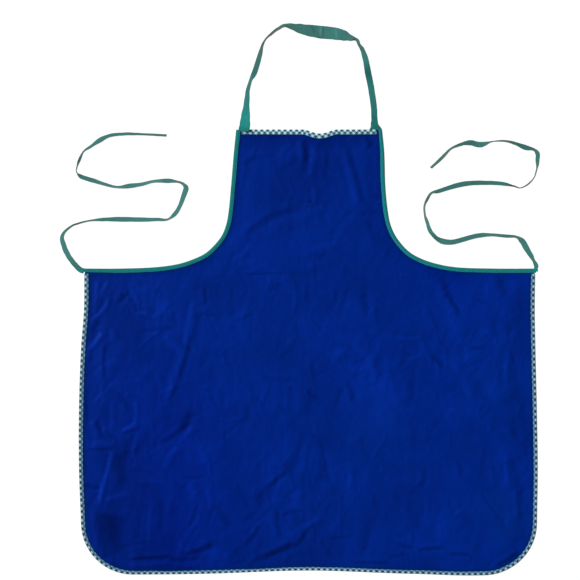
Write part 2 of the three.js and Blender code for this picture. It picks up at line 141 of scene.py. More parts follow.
# Painted shade that a metre of dent puts on a tape, and painted light that a metre of ridge puts on it
DENT_TONE = 1400.0
# What the white floor's glare takes off the width of a loose tape
GLARE = 0.8 * MM


# The camera, the floor and the softness of the main light
LENS_MILLIMETRES = 85
SENSOR_MILLIMETRES = 36
CAMERA_X = -0.0316
CAMERA_Y = 0.0149
FLOOR_HALF = 16.0
LIGHT_SPREAD = math.radians(12)


class SideRow(NamedTuple):
    """A place down the skirt's side, with shares of half the skirt's width."""

    along: float
    left: float
    right: float


class ArmholeRow(NamedTuple):
    """A place down the bib's depth, with shares of the way from bib corner to waist corner."""

    down: float
    left: float
    right: float


class StrapRow(NamedTuple):
    """A place of the neck strap in shares of half the bib's width and of the strap's reach. shown is
    the share of the opened tape that isn't folded under, and seen the share of it that is seen from
    above, which is less where the tape leans. aside is how far it lies to the left of the route, tone
    how much lighter, or below 0 darker, it is painted there as painted light and shade, and fade how
    grey."""

    across: float
    up: float
    shown: float
    seen: float
    aside: float
    tone: float
    fade: float


class TieRow(NamedTuple):
    """A place of a waist tie, out from the waist corner and up from the binding's middle. seen is the
    tape's width as seen from above, which is less where the tape leans, and aside how far it lies to
    the left of the route. tone is how much lighter, or below 0 darker, it is painted there: painted
    light and shade."""

    out: float
    up: float
    seen: float
    aside: float
    tone: float


class Crease(NamedTuple):
    """A tilted band of cloth along a bent line of three places. Across is a share of half the skirt's
    width, down a share of the cloth's depth from bib top to hem. reach is half the band's width, and
    slope is how steeply the cloth falls towards the left of the line, as it runs from the first place
    to the last. tone is how much lighter, or below 0 darker, the cloth is painted along it: painted
    light and shade of the crease."""

    across: float
    down: float
    mid_across: float
    mid_down: float
    to_across: float
    to_down: float
    reach: float
    slope: float
    tone: float


class Ridge(NamedTuple):
    """A ridge, or below 0 a valley, along a bent line, in the shares of the thing it lies on."""

    across: float
    up: float
    mid_across: float
    mid_up: float
    to_across: float
    to_up: float
    spread: float
    height: float


class Shade(NamedTuple):
    """A wide patch, at shares of half the skirt's width and of the cloth's length from the bib down,
    where the cloth is painted lighter or, below 0, darker, as painted light and shade, and greener or,
    below 0, bluer."""

    across: float
    down: float
    reach: float
    tone: float
    green: float


class Crumple(NamedTuple):
    """Soft bumps of one size all over the cloth: their share of the crumples' height, and which
    layer of the noise they are cut from."""

    size: float
    share: float
    layer: float


CRUMPLES = [
    Crumple(85 * MM, 1.0, 3.1),
    Crumple(34 * MM, 0.6, 17.7),
    Crumple(15 * MM, 0.24, 41.3),
]

SIDES = [
    SideRow(0.0, 0.977, 0.992),
    SideRow(0.14, 0.978, 0.99),
    SideRow(0.3, 0.991, 0.993),
    SideRow(0.54, 1.0, 0.999),
    SideRow(0.78, 1.0, 1.003),
    SideRow(1.0, 0.991, 1.0),
]

ARMHOLES = [
    ArmholeRow(0.0, 0.0, 0.0),
    ArmholeRow(0.16, 0.015, 0.014),
    ArmholeRow(0.42, 0.035, 0.022),
    ArmholeRow(0.59, 0.05, 0.038),
    ArmholeRow(0.68, 0.065, 0.054),
    ArmholeRow(0.765, 0.096, 0.088),
    ArmholeRow(0.85, 0.16, 0.148),
    ArmholeRow(0.895, 0.21, 0.197),
    ArmholeRow(0.937, 0.293, 0.274),
    ArmholeRow(0.968, 0.385, 0.365),
    ArmholeRow(0.99, 0.53, 0.48),
    ArmholeRow(1.0, 0.76, 0.73),
    ArmholeRow(1.0, 1.0, 1.0),
]

# The neck strap from the bib's left corner over the top to its right corner
STRAP = [
    StrapRow(-0.885, 0.0, 0.86, 0.86, 0.0009, -0.05, 0.02),
    StrapRow(-0.885, 0.05, 0.82, 0.82, -0.0007, 0.25, 0.0),
    StrapRow(-0.88, 0.12, 0.69, 0.7, -0.0009, 0.3, 0.0),
    StrapRow(-0.867, 0.24, 0.45, 0.45, -0.0012, 0.1, 0.1),
    StrapRow(-0.847, 0.365, 0.44, 0.32, -0.0009, -0.1, 0.25),
    StrapRow(-0.816, 0.45, 0.44, 0.26, -0.0012, 0.05, 0.3),
    StrapRow(-0.77, 0.53, 0.44, 0.43, -0.0024, -0.2, 0.25),
    StrapRow(-0.723, 0.61, 0.44, 0.42, -0.0014, -0.15, 0.3),
    StrapRow(-0.688, 0.7, 0.44, 0.37, -0.0018, -0.15, 0.45),
    StrapRow(-0.647, 0.78, 0.44, 0.21, -0.0005, -0.2, 0.7),
    StrapRow(-0.609, 0.84, 0.48, 0.15, -0.0013, -0.25, 0.9),
    StrapRow(-0.53, 0.9, 0.58, 0.27, -0.0025, -0.25, 0.9),
    StrapRow(-0.435, 0.95, 0.68, 0.32, -0.0029, -0.15, 0.7),
    StrapRow(-0.33, 0.975, 0.77, 0.36, -0.0014, -0.05, 0.5),
    StrapRow(-0.226, 0.965, 0.82, 0.53, -0.0011, -0.12, 0.4),
    StrapRow(-0.116, 0.94, 0.9, 0.79, -0.0001, -0.08, 0.32),
    StrapRow(0.034, 0.925, 0.95, 0.94, -0.0007, -0.08, 0.3),
    StrapRow(0.194, 0.915, 1.0, 1.0, -0.0012, 0.0, 0.28),
    StrapRow(0.364, 0.9, 0.98, 0.96, -0.001, 0.05, 0.3),
    StrapRow(0.474, 0.88, 0.85, 0.82, -0.0003, 0.03, 0.3),
    StrapRow(0.564, 0.857, 0.58, 0.5, -0.0002, 0.0, 0.35),
    StrapRow(0.644, 0.835, 0.48, 0.2, 0.0013, -0.1, 0.5),
    StrapRow(0.7, 0.795, 0.44, 0.17, -0.002, -0.1, 0.45),
    StrapRow(0.74, 0.74, 0.44, 0.28, -0.001, -0.1, 0.35),
    StrapRow(0.776, 0.655, 0.44, 0.41, -0.0004, 0.0, 0.2),
    StrapRow(0.812, 0.53, 0.48, 0.47, -0.0005, -0.38, 0.05),
    StrapRow(0.852, 0.37, 0.46, 0.46, 0.0003, -0.08, 0.12),
    StrapRow(0.884, 0.2, 0.46, 0.45, 0.0006, -0.18, 0.12),
    StrapRow(0.892, 0.1, 0.46, 0.46, 0.0004, -0.3, 0.08),
    StrapRow(0.903, 0.045, 0.57, 0.57, -0.0007, -0.22, 0.03),
    StrapRow(0.915, 0.0, 0.96, 1.0, -0.0008, -0.25, 0.02),
]

# The waist ties' routes, in metres
LEFT_TIE = [
    TieRow(0.0, 0.0, 0.009, 0.0, 0.0),
    TieRow(0.006, 0.003, 0.009, 0.001, 0.05),
    TieRow(0.015, 0.013, 0.009, 0.0018, -0.1),
    TieRow(0.024, 0.023, 0.0091, 0.0009, 0.12),
    TieRow(0.032, 0.032, 0.0095, -0.0016, 0.1),
    TieRow(0.039, 0.046, 0.0092, -0.003, 0.05),
    TieRow(0.042, 0.06, 0.0075, -0.0035, 0.05),
    TieRow(0.035, 0.073, 0.005, -0.0036, -0.1),
    TieRow(0.015, 0.083, 0.0032, -0.0009, -0.5),
    TieRow(-0.01, 0.088, 0.0028, 0.0005, 0.0),
    TieRow(-0.036, 0.091, 0.0065, -0.0003, -0.05),
    TieRow(-0.066, 0.091, 0.0086, 0.0, 0.03),
    TieRow(-0.098, 0.091, 0.0078, -0.0005, 0.1),
    TieRow(-0.126, 0.09, 0.0062, 0.0007, 0.1),
    TieRow(-0.147, 0.093, 0.0037, -0.002, 0.15),
    TieRow(-0.159, 0.102, 0.0081, -0.0014, 0.1),
    TieRow(-0.167, 0.114, 0.0075, -0.001, 0.12),
    TieRow(-0.173, 0.13, 0.0086, -0.001, 0.12),
    TieRow(-0.179, 0.144, 0.0098, 0.0002, 0.05),
    TieRow(-0.18, 0.153, 0.006, 0.0046, 0.0),
    TieRow(-0.166, 0.157, 0.0034, 0.0004, 0.1),
    TieRow(-0.147, 0.159, 0.0076, 0.0005, 0.0),
    TieRow(-0.122, 0.158, 0.0051, 0.0005, 0.3),
    TieRow(-0.101, 0.154, 0.0063, 0.0017, 0.15),
    TieRow(-0.08, 0.15, 0.0083, 0.0004, 0.1),
    TieRow(-0.057, 0.148, 0.0039, 0.0004, 0.15),
    TieRow(-0.034, 0.154, 0.0054, 0.0007, 0.1),
    TieRow(-0.013, 0.16, 0.0075, 0.0, 0.0),
    TieRow(0.005, 0.165, 0.0068, -0.0007, -0.1),
    TieRow(0.015, 0.172, 0.0012, -0.0024, -0.2),
    TieRow(0.015, 0.183, 0.0028, -0.0029, -0.2),
    TieRow(0.01, 0.195, 0.0059, -0.0019, -0.45),
    TieRow(0.002, 0.211, 0.0036, -0.0019, -0.2),
    TieRow(-0.011, 0.221, 0.0057, -0.0026, 0.0),
    TieRow(-0.027, 0.231, 0.009, -0.0014, 0.0),
    TieRow(-0.045, 0.239, 0.0065, -0.0012, -0.05),
    TieRow(-0.073, 0.242, 0.0056, -0.0013, 0.0),
    TieRow(-0.106, 0.241, 0.0039, -0.0009, -0.15),
    TieRow(-0.141, 0.239, 0.0043, -0.0007, -0.05),
]
RIGHT_TIE = [
    TieRow(0.0, 0.0, 0.0075, 0.0005, 0.0),
    TieRow(0.004, 0.001, 0.0052, 0.0055, 0.0),
    TieRow(0.0065, 0.006, 0.007, 0.0056, -0.05),
    TieRow(0.004, 0.013, 0.0064, 0.0038, -0.05),
    TieRow(-0.001, 0.0205, 0.0043, 0.0028, -0.1),
    TieRow(-0.008, 0.03, 0.008, 0.0013, 0.0),
    TieRow(-0.015, 0.043, 0.0098, 0.0021, 0.05),
    TieRow(-0.022, 0.054, 0.0095, 0.0017, -0.05),
    TieRow(-0.033, 0.061, 0.0038, 0.0009, -0.05),
    TieRow(-0.052, 0.062, 0.0054, 0.0005, -0.1),
    TieRow(-0.075, 0.064, 0.005, 0.0004, 0.0),
    TieRow(-0.1, 0.063, 0.0079, 0.0005, -0.1),
    TieRow(-0.145, 0.052, 0.0087, 0.0009, -0.1),
    TieRow(-0.163, 0.051, 0.0096, -0.0016, 0.0),
    TieRow(-0.176, 0.06, 0.0065, 0.0, -0.2),
    TieRow(-0.184, 0.072, 0.0063, 0.0014, 0.1),
    TieRow(-0.19, 0.086, 0.005, 0.0002, 0.1),
    TieRow(-0.194, 0.1, 0.0022, 0.0003, 0.1),
    TieRow(-0.194, 0.114, 0.0022, 0.0009, 0.1),
    TieRow(-0.19, 0.126, 0.004, 0.0, -0.35),
    TieRow(-0.182, 0.136, 0.0036, 0.0011, -0.1),
    TieRow(-0.17, 0.141, 0.0071, -0.0007, -0.2),
    TieRow(-0.13, 0.152, 0.0091, 0.0002, -0.15),
    TieRow(-0.107, 0.155, 0.0081, -0.0002, -0.2),
    TieRow(-0.058, 0.153, 0.0068, 0.0005, -0.1),
    TieRow(-0.037, 0.149, 0.0026, 0.0002, -0.5),
    TieRow(-0.026, 0.147, 0.0012, -0.0009, -0.3),
    TieRow(-0.014, 0.153, 0.0015, -0.0009, -0.4),
    TieRow(-0.004, 0.165, 0.0007, -0.0018, 0.0),
    TieRow(0.002, 0.178, 0.001, -0.0001, 0.0),
    TieRow(0.006, 0.195, 0.006, 0.0026, -0.15),
    TieRow(0.005, 0.207, 0.0066, 0.0016, -0.1),
    TieRow(-0.002, 0.214, 0.0043, 0.0007, -0.1),
    TieRow(-0.017, 0.218, 0.0086, 0.001, -0.2),
    TieRow(-0.035, 0.225, 0.0053, 0.0009, -0.25),
    TieRow(-0.054, 0.229, 0.0032, 0.0005, -0.2),
    TieRow(-0.075, 0.228, 0.0016, 0.0005, 0.0),
    TieRow(-0.097, 0.223, 0.0098, 0.001, -0.05),
    TieRow(-0.114, 0.226, 0.0093, 0.0005, -0.2),
    TieRow(-0.13, 0.224, 0.0055, 0.0014, -0.25),
    TieRow(-0.149, 0.214, 0.0032, -0.0002, -0.1),
    TieRow(-0.165, 0.199, 0.005, 0.0007, -0.15),
    TieRow(-0.181, 0.184, 0.0036, 0.0005, -0.1),
]

# The creases that the photograph shows, from the bib down. The columns are across, down, mid across,
# mid down, to across, to down, the reach in millimetres, slope and tone, the crease's painted light and
# shade
CREASE_ROWS = (
    (-0.853, 0.718, -0.879, 0.766, -0.918, 0.844, 3.9, -0.26, 0.14),
    (-0.945, 0.851, -0.936, 0.896, -0.918, 0.935, 4.4, -0.11, 0.04),
    (-0.813, 0.721, -0.822, 0.766, -0.813, 0.806, 10.5, 0.10, -0.14),
    (-0.862, 0.860, -0.870, 0.905, -0.844, 0.959, 21.1, 0.06, -0.26),
    (-0.892, 0.833, -0.857, 0.826, -0.787, 0.817, 4.4, 0.20, 0.08),
    (-0.980, 0.797, -0.945, 0.802, -0.918, 0.806, 3.5, -0.23, -0.19),
    (-0.971, 0.718, -0.910, 0.718, -0.857, 0.716, 2.3, -0.28, -0.12),
    (-0.953, 0.707, -0.901, 0.703, -0.844, 0.707, 5.3, 0.14, 0.07),
    (-0.879, 0.676, -0.857, 0.689, -0.831, 0.700, 2.5, 0.23, -0.16),
    (-0.927, 0.653, -0.910, 0.676, -0.896, 0.682, 5.3, 0.33, -0.12),
    (-0.857, 0.653, -0.862, 0.667, -0.870, 0.678, 4.4, -0.14, 0.08),
    (-0.813, 0.676, -0.778, 0.667, -0.748, 0.658, 3.5, 0.24, 0.11),
    (-0.813, 0.682, -0.778, 0.678, -0.730, 0.671, 2.3, -0.29, -0.11),
    (-0.743, 0.680, -0.757, 0.703, -0.774, 0.734, 3.5, -0.17, 0.09),
    (-0.787, 0.698, -0.796, 0.721, -0.796, 0.736, 3.5, 0.12, -0.06),
    (-0.647, 0.700, -0.595, 0.689, -0.512, 0.655, 4.4, -0.22, -0.11),
    (-0.634, 0.759, -0.603, 0.734, -0.569, 0.709, 5.3, 0.14, 0.08),
    (-0.573, 0.709, -0.542, 0.689, -0.503, 0.664, 3.2, 0.14, 0.08),
    (-0.713, 0.741, -0.687, 0.727, -0.656, 0.716, 2.3, 0.09, 0.04),
    (-0.516, 0.700, -0.499, 0.682, -0.481, 0.671, 5.3, -0.08, -0.04),
    (-0.485, 0.721, -0.464, 0.732, -0.455, 0.750, 7.0, -0.14, 0.05),
    (-0.429, 0.730, -0.420, 0.766, -0.411, 0.802, 2.8, 0.08, -0.04),
    (-0.547, 0.779, -0.499, 0.781, -0.450, 0.777, 2.5, -0.21, -0.09),
    (-0.529, 0.795, -0.512, 0.811, -0.490, 0.826, 7.0, -0.21, 0.09),
    (-0.450, 0.804, -0.437, 0.822, -0.429, 0.853, 3.5, -0.15, 0.06),
    (-0.778, 0.761, -0.717, 0.766, -0.656, 0.770, 3.5, -0.09, -0.06),
    (-0.743, 0.788, -0.691, 0.788, -0.617, 0.793, 3.5, 0.11, 0.06),
    (-0.682, 0.831, -0.695, 0.878, -0.700, 0.937, 3.5, -0.12, 0.06),
    (-0.735, 0.833, -0.752, 0.878, -0.743, 0.923, 8.8, 0.06, -0.08),
    (-0.647, 0.831, -0.643, 0.860, -0.656, 0.903, 5.3, 0.09, -0.04),
    (-0.485, 0.842, -0.499, 0.867, -0.520, 0.889, 3.5, 0.17, -0.09),
    (-0.468, 0.867, -0.507, 0.894, -0.542, 0.923, 3.5, -0.08, 0.04),
    (-0.827, 0.937, -0.743, 0.930, -0.660, 0.925, 2.5, -0.17, -0.06),
    (-0.787, 0.935, -0.770, 0.950, -0.774, 0.971, 5.3, -0.11, 0.04),
    (-0.573, 0.930, -0.555, 0.937, -0.542, 0.944, 3.5, -0.14, 0.11),
    (-0.787, 0.964, -0.700, 0.962, -0.599, 0.959, 2.8, -0.42, -0.18),
    (-0.603, 0.962, -0.538, 0.966, -0.468, 0.959, 3.2, -0.33, -0.15),
    (-0.787, 0.975, -0.708, 0.975, -0.599, 0.971, 3.5, 0.19, 0.08),
    (-0.542, 0.953, -0.481, 0.946, -0.415, 0.930, 5.3, -0.31, -0.12),
    (-0.437, 0.959, -0.407, 0.950, -0.376, 0.968, 8.8, 0.09, 0.13),
    (-0.407, 0.853, -0.367, 0.869, -0.345, 0.894, 7.0, 0.14, -0.08),
    (-0.569, 0.984, -0.516, 0.986, -0.468, 0.982, 2.8, -0.28, -0.12),
    (-0.345, 0.975, -0.315, 0.975, -0.271, 0.968, 2.8, -0.27, -0.09),
    (-0.927, 0.336, -0.931, 0.372, -0.940, 0.419, 4.4, -0.18, 0.09),
    (-0.875, 0.336, -0.896, 0.361, -0.914, 0.383, 3.5, -0.17, 0.09),
    (-0.866, 0.347, -0.892, 0.365, -0.918, 0.385, 2.3, 0.11, -0.06),
    (-0.879, 0.374, -0.892, 0.401, -0.949, 0.426, 3.5, -0.25, 0.14),
    (-0.914, 0.428, -0.931, 0.442, -0.949, 0.457, 5.3, 0.20, -0.11),
    (-0.901, 0.453, -0.927, 0.473, -0.966, 0.493, 4.4, -0.29, 0.15),
    (-0.949, 0.493, -0.949, 0.509, -0.953, 0.525, 3.5, 0.18, -0.09),
    (-0.857, 0.444, -0.857, 0.457, -0.848, 0.473, 5.3, -0.21, 0.09),
    (-0.883, 0.482, -0.892, 0.520, -0.888, 0.565, 3.5, 0.19, -0.09),
    (-0.805, 0.367, -0.818, 0.379, -0.827, 0.390, 4.4, 0.17, -0.09),
    (-0.783, 0.363, -0.765, 0.374, -0.748, 0.385, 4.4, -0.19, 0.11),
    (-0.748, 0.412, -0.708, 0.412, -0.678, 0.424, 2.8, 0.28, 0.24),
    (-0.673, 0.383, -0.647, 0.394, -0.625, 0.408, 8.8, -0.09, 0.12),
    (-0.739, 0.455, -0.665, 0.448, -0.577, 0.446, 3.5, -0.14, -0.05),
    (-0.634, 0.471, -0.586, 0.484, -0.555, 0.498, 5.3, -0.19, 0.18),
    (-0.503, 0.379, -0.525, 0.439, -0.542, 0.487, 4.4, -0.15, 0.08),
    (-0.555, 0.500, -0.595, 0.563, -0.630, 0.628, 7.0, -0.09, 0.04),
    (-0.477, 0.408, -0.490, 0.451, -0.507, 0.475, 5.3, 0.12, -0.06),
    (-0.520, 0.482, -0.542, 0.520, -0.564, 0.561, 4.4, 0.17, -0.09),
    (-0.569, 0.565, -0.586, 0.588, -0.608, 0.610, 3.5, 0.17, -0.09),
    (-0.455, 0.352, -0.450, 0.374, -0.450, 0.394, 3.2, 0.20, -0.09),
    (-0.472, 0.415, -0.433, 0.415, -0.398, 0.419, 2.8, -0.14, -0.09),
    (-0.761, 0.606, -0.752, 0.635, -0.765, 0.664, 3.2, -0.19, 0.09),
    (-0.835, 0.595, -0.805, 0.613, -0.774, 0.628, 5.3, 0.17, -0.11),
    (-0.857, 0.608, -0.857, 0.633, -0.857, 0.660, 4.4, -0.13, 0.06),
    (-0.892, 0.572, -0.896, 0.595, -0.883, 0.615, 5.3, -0.08, 0.04),
    (-0.827, 0.559, -0.700, 0.554, -0.599, 0.559, 2.3, -0.09, -0.05),
    (-0.512, 0.633, -0.534, 0.653, -0.564, 0.671, 7.0, 0.14, -0.08),
    (-0.962, 0.581, -0.971, 0.613, -0.962, 0.655, 3.5, 0.16, -0.08),
    (-0.490, 0.597, -0.494, 0.619, -0.485, 0.637, 2.8, -0.10, 0.04),
    (-0.424, 0.597, -0.415, 0.610, -0.402, 0.619, 3.5, 0.14, -0.05),
    (-0.494, 0.322, -0.420, 0.322, -0.359, 0.322, 2.1, 0.11, 0.05),
    (-0.022, 0.021, -0.013, 0.045, -0.009, 0.075, 5.3, 0.34, -0.15),
    (0.026, 0.025, 0.017, 0.063, 0.004, 0.106, 5.3, -0.15, 0.08),
    (0.079, 0.036, 0.079, 0.072, 0.070, 0.111, 4.4, 0.09, -0.04),
    (0.022, 0.129, 0.022, 0.147, 0.026, 0.167, 3.5, -0.20, 0.09),
    (0.066, 0.165, 0.066, 0.180, 0.039, 0.196, 5.3, 0.08, -0.04),
    (0.166, 0.036, 0.201, 0.090, 0.241, 0.171, 5.3, 0.19, -0.08),
    (0.153, 0.063, 0.184, 0.122, 0.210, 0.171, 5.3, -0.10, 0.04),
    (0.210, 0.183, 0.175, 0.207, 0.127, 0.228, 5.3, -0.08, 0.04),
    (0.131, 0.228, 0.122, 0.243, 0.109, 0.259, 4.4, -0.08, 0.04),
    (-0.289, 0.250, -0.201, 0.205, -0.061, 0.178, 5.3, -0.13, -0.06),
    (-0.201, 0.237, -0.122, 0.207, 0.017, 0.185, 7.0, 0.07, 0.03),
    (-0.276, 0.081, -0.254, 0.068, -0.223, 0.059, 5.3, -0.15, -0.08),
    (-0.271, 0.115, -0.267, 0.095, -0.254, 0.077, 7.0, -0.07, -0.04),
    (-0.184, 0.052, -0.179, 0.113, -0.188, 0.174, 5.3, -0.06, 0.03),
    (-0.070, 0.021, -0.105, 0.045, -0.140, 0.070, 5.3, -0.05, 0.02),
    (-0.171, 0.014, -0.140, 0.016, -0.105, 0.016, 3.5, -0.17, -0.09),
    (0.245, 0.014, 0.262, 0.023, 0.276, 0.039, 5.3, 0.23, -0.11),
    (-0.048, 0.061, -0.087, 0.079, -0.118, 0.088, 5.3, 0.07, -0.04),
    (-0.039, 0.160, -0.009, 0.162, 0.022, 0.162, 2.1, -0.19, -0.11),
    (0.109, 0.156, 0.131, 0.156, 0.157, 0.156, 2.1, -0.11, -0.05),
    (0.004, 0.264, 0.061, 0.261, 0.127, 0.257, 5.3, 0.11, 0.04),
    (0.013, 0.279, 0.044, 0.284, 0.074, 0.284, 4.4, -0.15, -0.10),
    (-0.302, 0.324, -0.175, 0.324, -0.039, 0.322, 2.3, -0.19, -0.09),
    (-0.297, 0.297, -0.280, 0.300, -0.258, 0.302, 3.5, 0.14, 0.10),
    (0.276, 0.144, 0.297, 0.149, 0.319, 0.153, 3.5, -0.09, -0.09),
    (-0.009, 0.385, -0.004, 0.365, 0.004, 0.345, 3.5, -0.15, -0.08),
    (0.114, 0.367, 0.122, 0.379, 0.122, 0.390, 3.5, 0.22, -0.09),
    (0.227, 0.372, 0.245, 0.394, 0.267, 0.412, 7.0, 0.17, -0.06),
    (0.297, 0.399, 0.297, 0.415, 0.306, 0.435, 2.8, 0.14, -0.06),
    (0.254, 0.439, 0.258, 0.455, 0.258, 0.471, 5.3, 0.10, -0.04),
    (0.188, 0.482, 0.219, 0.493, 0.249, 0.502, 4.4, -0.14, 0.14),
    (0.254, 0.509, 0.271, 0.532, 0.297, 0.561, 7.0, -0.22, 0.08),
    (0.197, 0.532, 0.219, 0.536, 0.241, 0.541, 5.3, 0.19, 0.17),
    (0.337, 0.505, 0.332, 0.552, 0.310, 0.588, 7.0, -0.07, 0.04),
    (0.171, 0.565, 0.184, 0.586, 0.197, 0.610, 5.3, 0.19, -0.07),
    (-0.171, 0.352, -0.153, 0.352, -0.136, 0.356, 7.0, -0.11, -0.09),
    (-0.127, 0.343, -0.092, 0.352, -0.066, 0.361, 7.0, -0.09, 0.10),
    (-0.035, 0.421, -0.017, 0.448, -0.026, 0.471, 7.0, -0.08, 0.04),
    (0.017, 0.520, 0.017, 0.541, 0.031, 0.556, 3.5, 0.16, -0.07),
    (0.035, 0.550, 0.061, 0.545, 0.092, 0.541, 2.8, -0.09, -0.04),
    (-0.004, 0.583, 0.013, 0.597, 0.039, 0.599, 3.2, 0.23, -0.21),
    (-0.048, 0.572, -0.048, 0.608, -0.052, 0.646, 5.3, -0.07, 0.04),
    (-0.079, 0.572, -0.083, 0.604, -0.092, 0.633, 3.5, 0.09, -0.04),
    (-0.136, 0.617, -0.118, 0.626, -0.101, 0.631, 2.8, 0.19, -0.16),
    (-0.192, 0.554, -0.144, 0.561, -0.074, 0.563, 4.4, -0.11, -0.07),
    (0.000, 0.606, 0.004, 0.626, -0.013, 0.644, 7.0, 0.09, -0.04),
    (0.092, 0.496, 0.127, 0.500, 0.153, 0.493, 7.0, 0.11, 0.05),
    (-0.245, 0.572, -0.245, 0.590, -0.241, 0.606, 2.8, 0.13, -0.06),
    (-0.315, 0.437, -0.297, 0.451, -0.276, 0.466, 5.3, -0.11, 0.06),
    (-0.319, 0.428, -0.284, 0.424, -0.241, 0.410, 2.8, -0.14, -0.06),
    (-0.328, 0.417, -0.302, 0.412, -0.258, 0.403, 2.8, 0.09, 0.04),
    (-0.144, 0.399, -0.140, 0.383, -0.122, 0.374, 2.8, 0.11, 0.06),
    (0.013, 0.430, 0.035, 0.437, 0.061, 0.453, 2.3, 0.19, -0.14),
    (0.092, 0.484, 0.131, 0.482, 0.171, 0.484, 2.3, -0.14, -0.07),
    (-0.022, 0.678, -0.035, 0.707, -0.061, 0.734, 5.3, 0.10, -0.05),
    (-0.048, 0.730, -0.079, 0.754, -0.114, 0.772, 8.8, 0.07, -0.10),
    (-0.092, 0.768, -0.136, 0.786, -0.179, 0.804, 4.4, 0.26, -0.13),
    (-0.175, 0.802, -0.201, 0.817, -0.232, 0.835, 7.0, 0.14, -0.08),
    (-0.201, 0.842, -0.236, 0.860, -0.284, 0.880, 5.3, 0.11, -0.05),
    (-0.140, 0.730, -0.171, 0.752, -0.197, 0.768, 7.0, -0.07, 0.04),
    (-0.083, 0.673, -0.105, 0.707, -0.118, 0.734, 7.0, -0.05, 0.02),
    (-0.052, 0.808, -0.057, 0.829, -0.070, 0.853, 7.0, -0.11, 0.05),
    (-0.149, 0.813, -0.149, 0.833, -0.153, 0.849, 3.2, -0.07, 0.04),
    (-0.114, 0.869, -0.074, 0.858, -0.031, 0.860, 3.2, -0.22, -0.08),
    (-0.092, 0.876, -0.079, 0.894, -0.096, 0.912, 8.8, -0.05, 0.07),
    (-0.136, 0.853, -0.136, 0.883, -0.122, 0.916, 4.4, 0.17, -0.08),
    (-0.197, 0.871, -0.223, 0.889, -0.249, 0.907, 3.2, -0.09, 0.04),
    (-0.214, 0.885, -0.236, 0.910, -0.284, 0.935, 3.9, 0.17, -0.09),
    (-0.276, 0.930, -0.302, 0.941, -0.328, 0.953, 3.5, 0.12, -0.06),
    (-0.017, 0.903, -0.031, 0.923, -0.074, 0.937, 5.3, 0.23, -0.12),
    (-0.066, 0.932, -0.131, 0.946, -0.201, 0.962, 5.3, 0.36, -0.15),
    (-0.197, 0.959, -0.227, 0.968, -0.262, 0.977, 3.5, 0.17, -0.08),
    (0.031, 0.885, 0.004, 0.896, -0.022, 0.912, 2.8, 0.18, -0.09),
    (0.026, 0.885, 0.031, 0.901, 0.031, 0.916, 2.8, 0.13, -0.06),
    (0.013, 0.878, -0.052, 0.901, -0.127, 0.930, 4.4, -0.08, 0.04),
    (0.092, 0.919, 0.140, 0.916, 0.197, 0.912, 2.8, -0.21, -0.07),
    (0.057, 0.916, 0.079, 0.941, 0.109, 0.964, 3.5, 0.14, -0.06),
    (0.249, 0.876, 0.254, 0.912, 0.223, 0.944, 10.5, 0.05, -0.07),
    (0.197, 0.973, 0.271, 0.973, 0.354, 0.975, 2.8, -0.35, -0.18),
    (0.035, 0.718, 0.035, 0.754, 0.031, 0.786, 4.4, -0.06, 0.03),
    (0.048, 0.802, 0.079, 0.795, 0.114, 0.795, 7.0, 0.11, 0.04),
    (0.175, 0.763, 0.184, 0.779, 0.179, 0.795, 3.5, -0.10, 0.04),
    (0.162, 0.752, 0.162, 0.777, 0.157, 0.799, 2.3, 0.09, -0.04),
    (0.092, 0.824, 0.114, 0.815, 0.136, 0.804, 4.4, -0.07, -0.04),
    (0.280, 0.820, 0.289, 0.833, 0.289, 0.849, 5.3, 0.08, -0.04),
    (-0.022, 0.763, -0.022, 0.806, -0.022, 0.847, 2.8, 0.08, -0.04),
    (0.017, 0.687, 0.044, 0.700, 0.066, 0.714, 2.3, 0.14, -0.09),
    (0.577, 0.327, 0.595, 0.352, 0.617, 0.374, 7.0, 0.22, -0.08),
    (0.612, 0.372, 0.638, 0.394, 0.665, 0.417, 4.4, 0.28, -0.12),
    (0.555, 0.358, 0.595, 0.394, 0.634, 0.421, 7.0, -0.11, 0.05),
    (0.608, 0.444, 0.643, 0.455, 0.678, 0.471, 12.3, -0.09, 0.13),
    (0.516, 0.399, 0.547, 0.424, 0.569, 0.453, 5.3, 0.11, -0.04),
    (0.560, 0.466, 0.582, 0.480, 0.617, 0.498, 2.8, 0.17, -0.11),
    (0.389, 0.469, 0.437, 0.469, 0.494, 0.466, 2.8, 0.21, 0.09),
    (0.485, 0.471, 0.512, 0.500, 0.547, 0.520, 3.5, -0.11, 0.05),
    (0.525, 0.507, 0.560, 0.518, 0.590, 0.534, 4.4, 0.23, -0.20),
    (0.551, 0.520, 0.560, 0.534, 0.569, 0.543, 2.3, -0.17, 0.06),
    (0.595, 0.511, 0.630, 0.527, 0.656, 0.543, 5.3, -0.11, 0.08),
    (0.354, 0.444, 0.376, 0.453, 0.398, 0.453, 5.3, -0.11, -0.10),
    (0.770, 0.347, 0.778, 0.363, 0.778, 0.379, 4.4, -0.10, 0.04),
    (0.761, 0.385, 0.770, 0.424, 0.770, 0.464, 5.3, -0.05, 0.02),
    (0.813, 0.327, 0.840, 0.349, 0.866, 0.374, 8.8, 0.12, -0.12),
    (0.739, 0.381, 0.761, 0.388, 0.783, 0.392, 2.3, -0.19, -0.19),
    (0.822, 0.403, 0.818, 0.433, 0.800, 0.464, 5.3, 0.06, -0.03),
    (0.813, 0.466, 0.813, 0.478, 0.813, 0.491, 2.3, -0.16, 0.08),
    (0.835, 0.466, 0.831, 0.480, 0.827, 0.489, 2.3, -0.12, 0.06),
    (0.888, 0.455, 0.888, 0.469, 0.896, 0.480, 3.2, -0.18, 0.08),
    (0.765, 0.457, 0.792, 0.457, 0.818, 0.457, 2.3, 0.14, 0.07),
    (0.713, 0.489, 0.739, 0.491, 0.765, 0.489, 2.8, -0.28, -0.14),
    (0.862, 0.514, 0.862, 0.536, 0.853, 0.561, 3.5, -0.13, 0.07),
    (0.879, 0.493, 0.888, 0.509, 0.901, 0.525, 3.5, 0.18, -0.07),
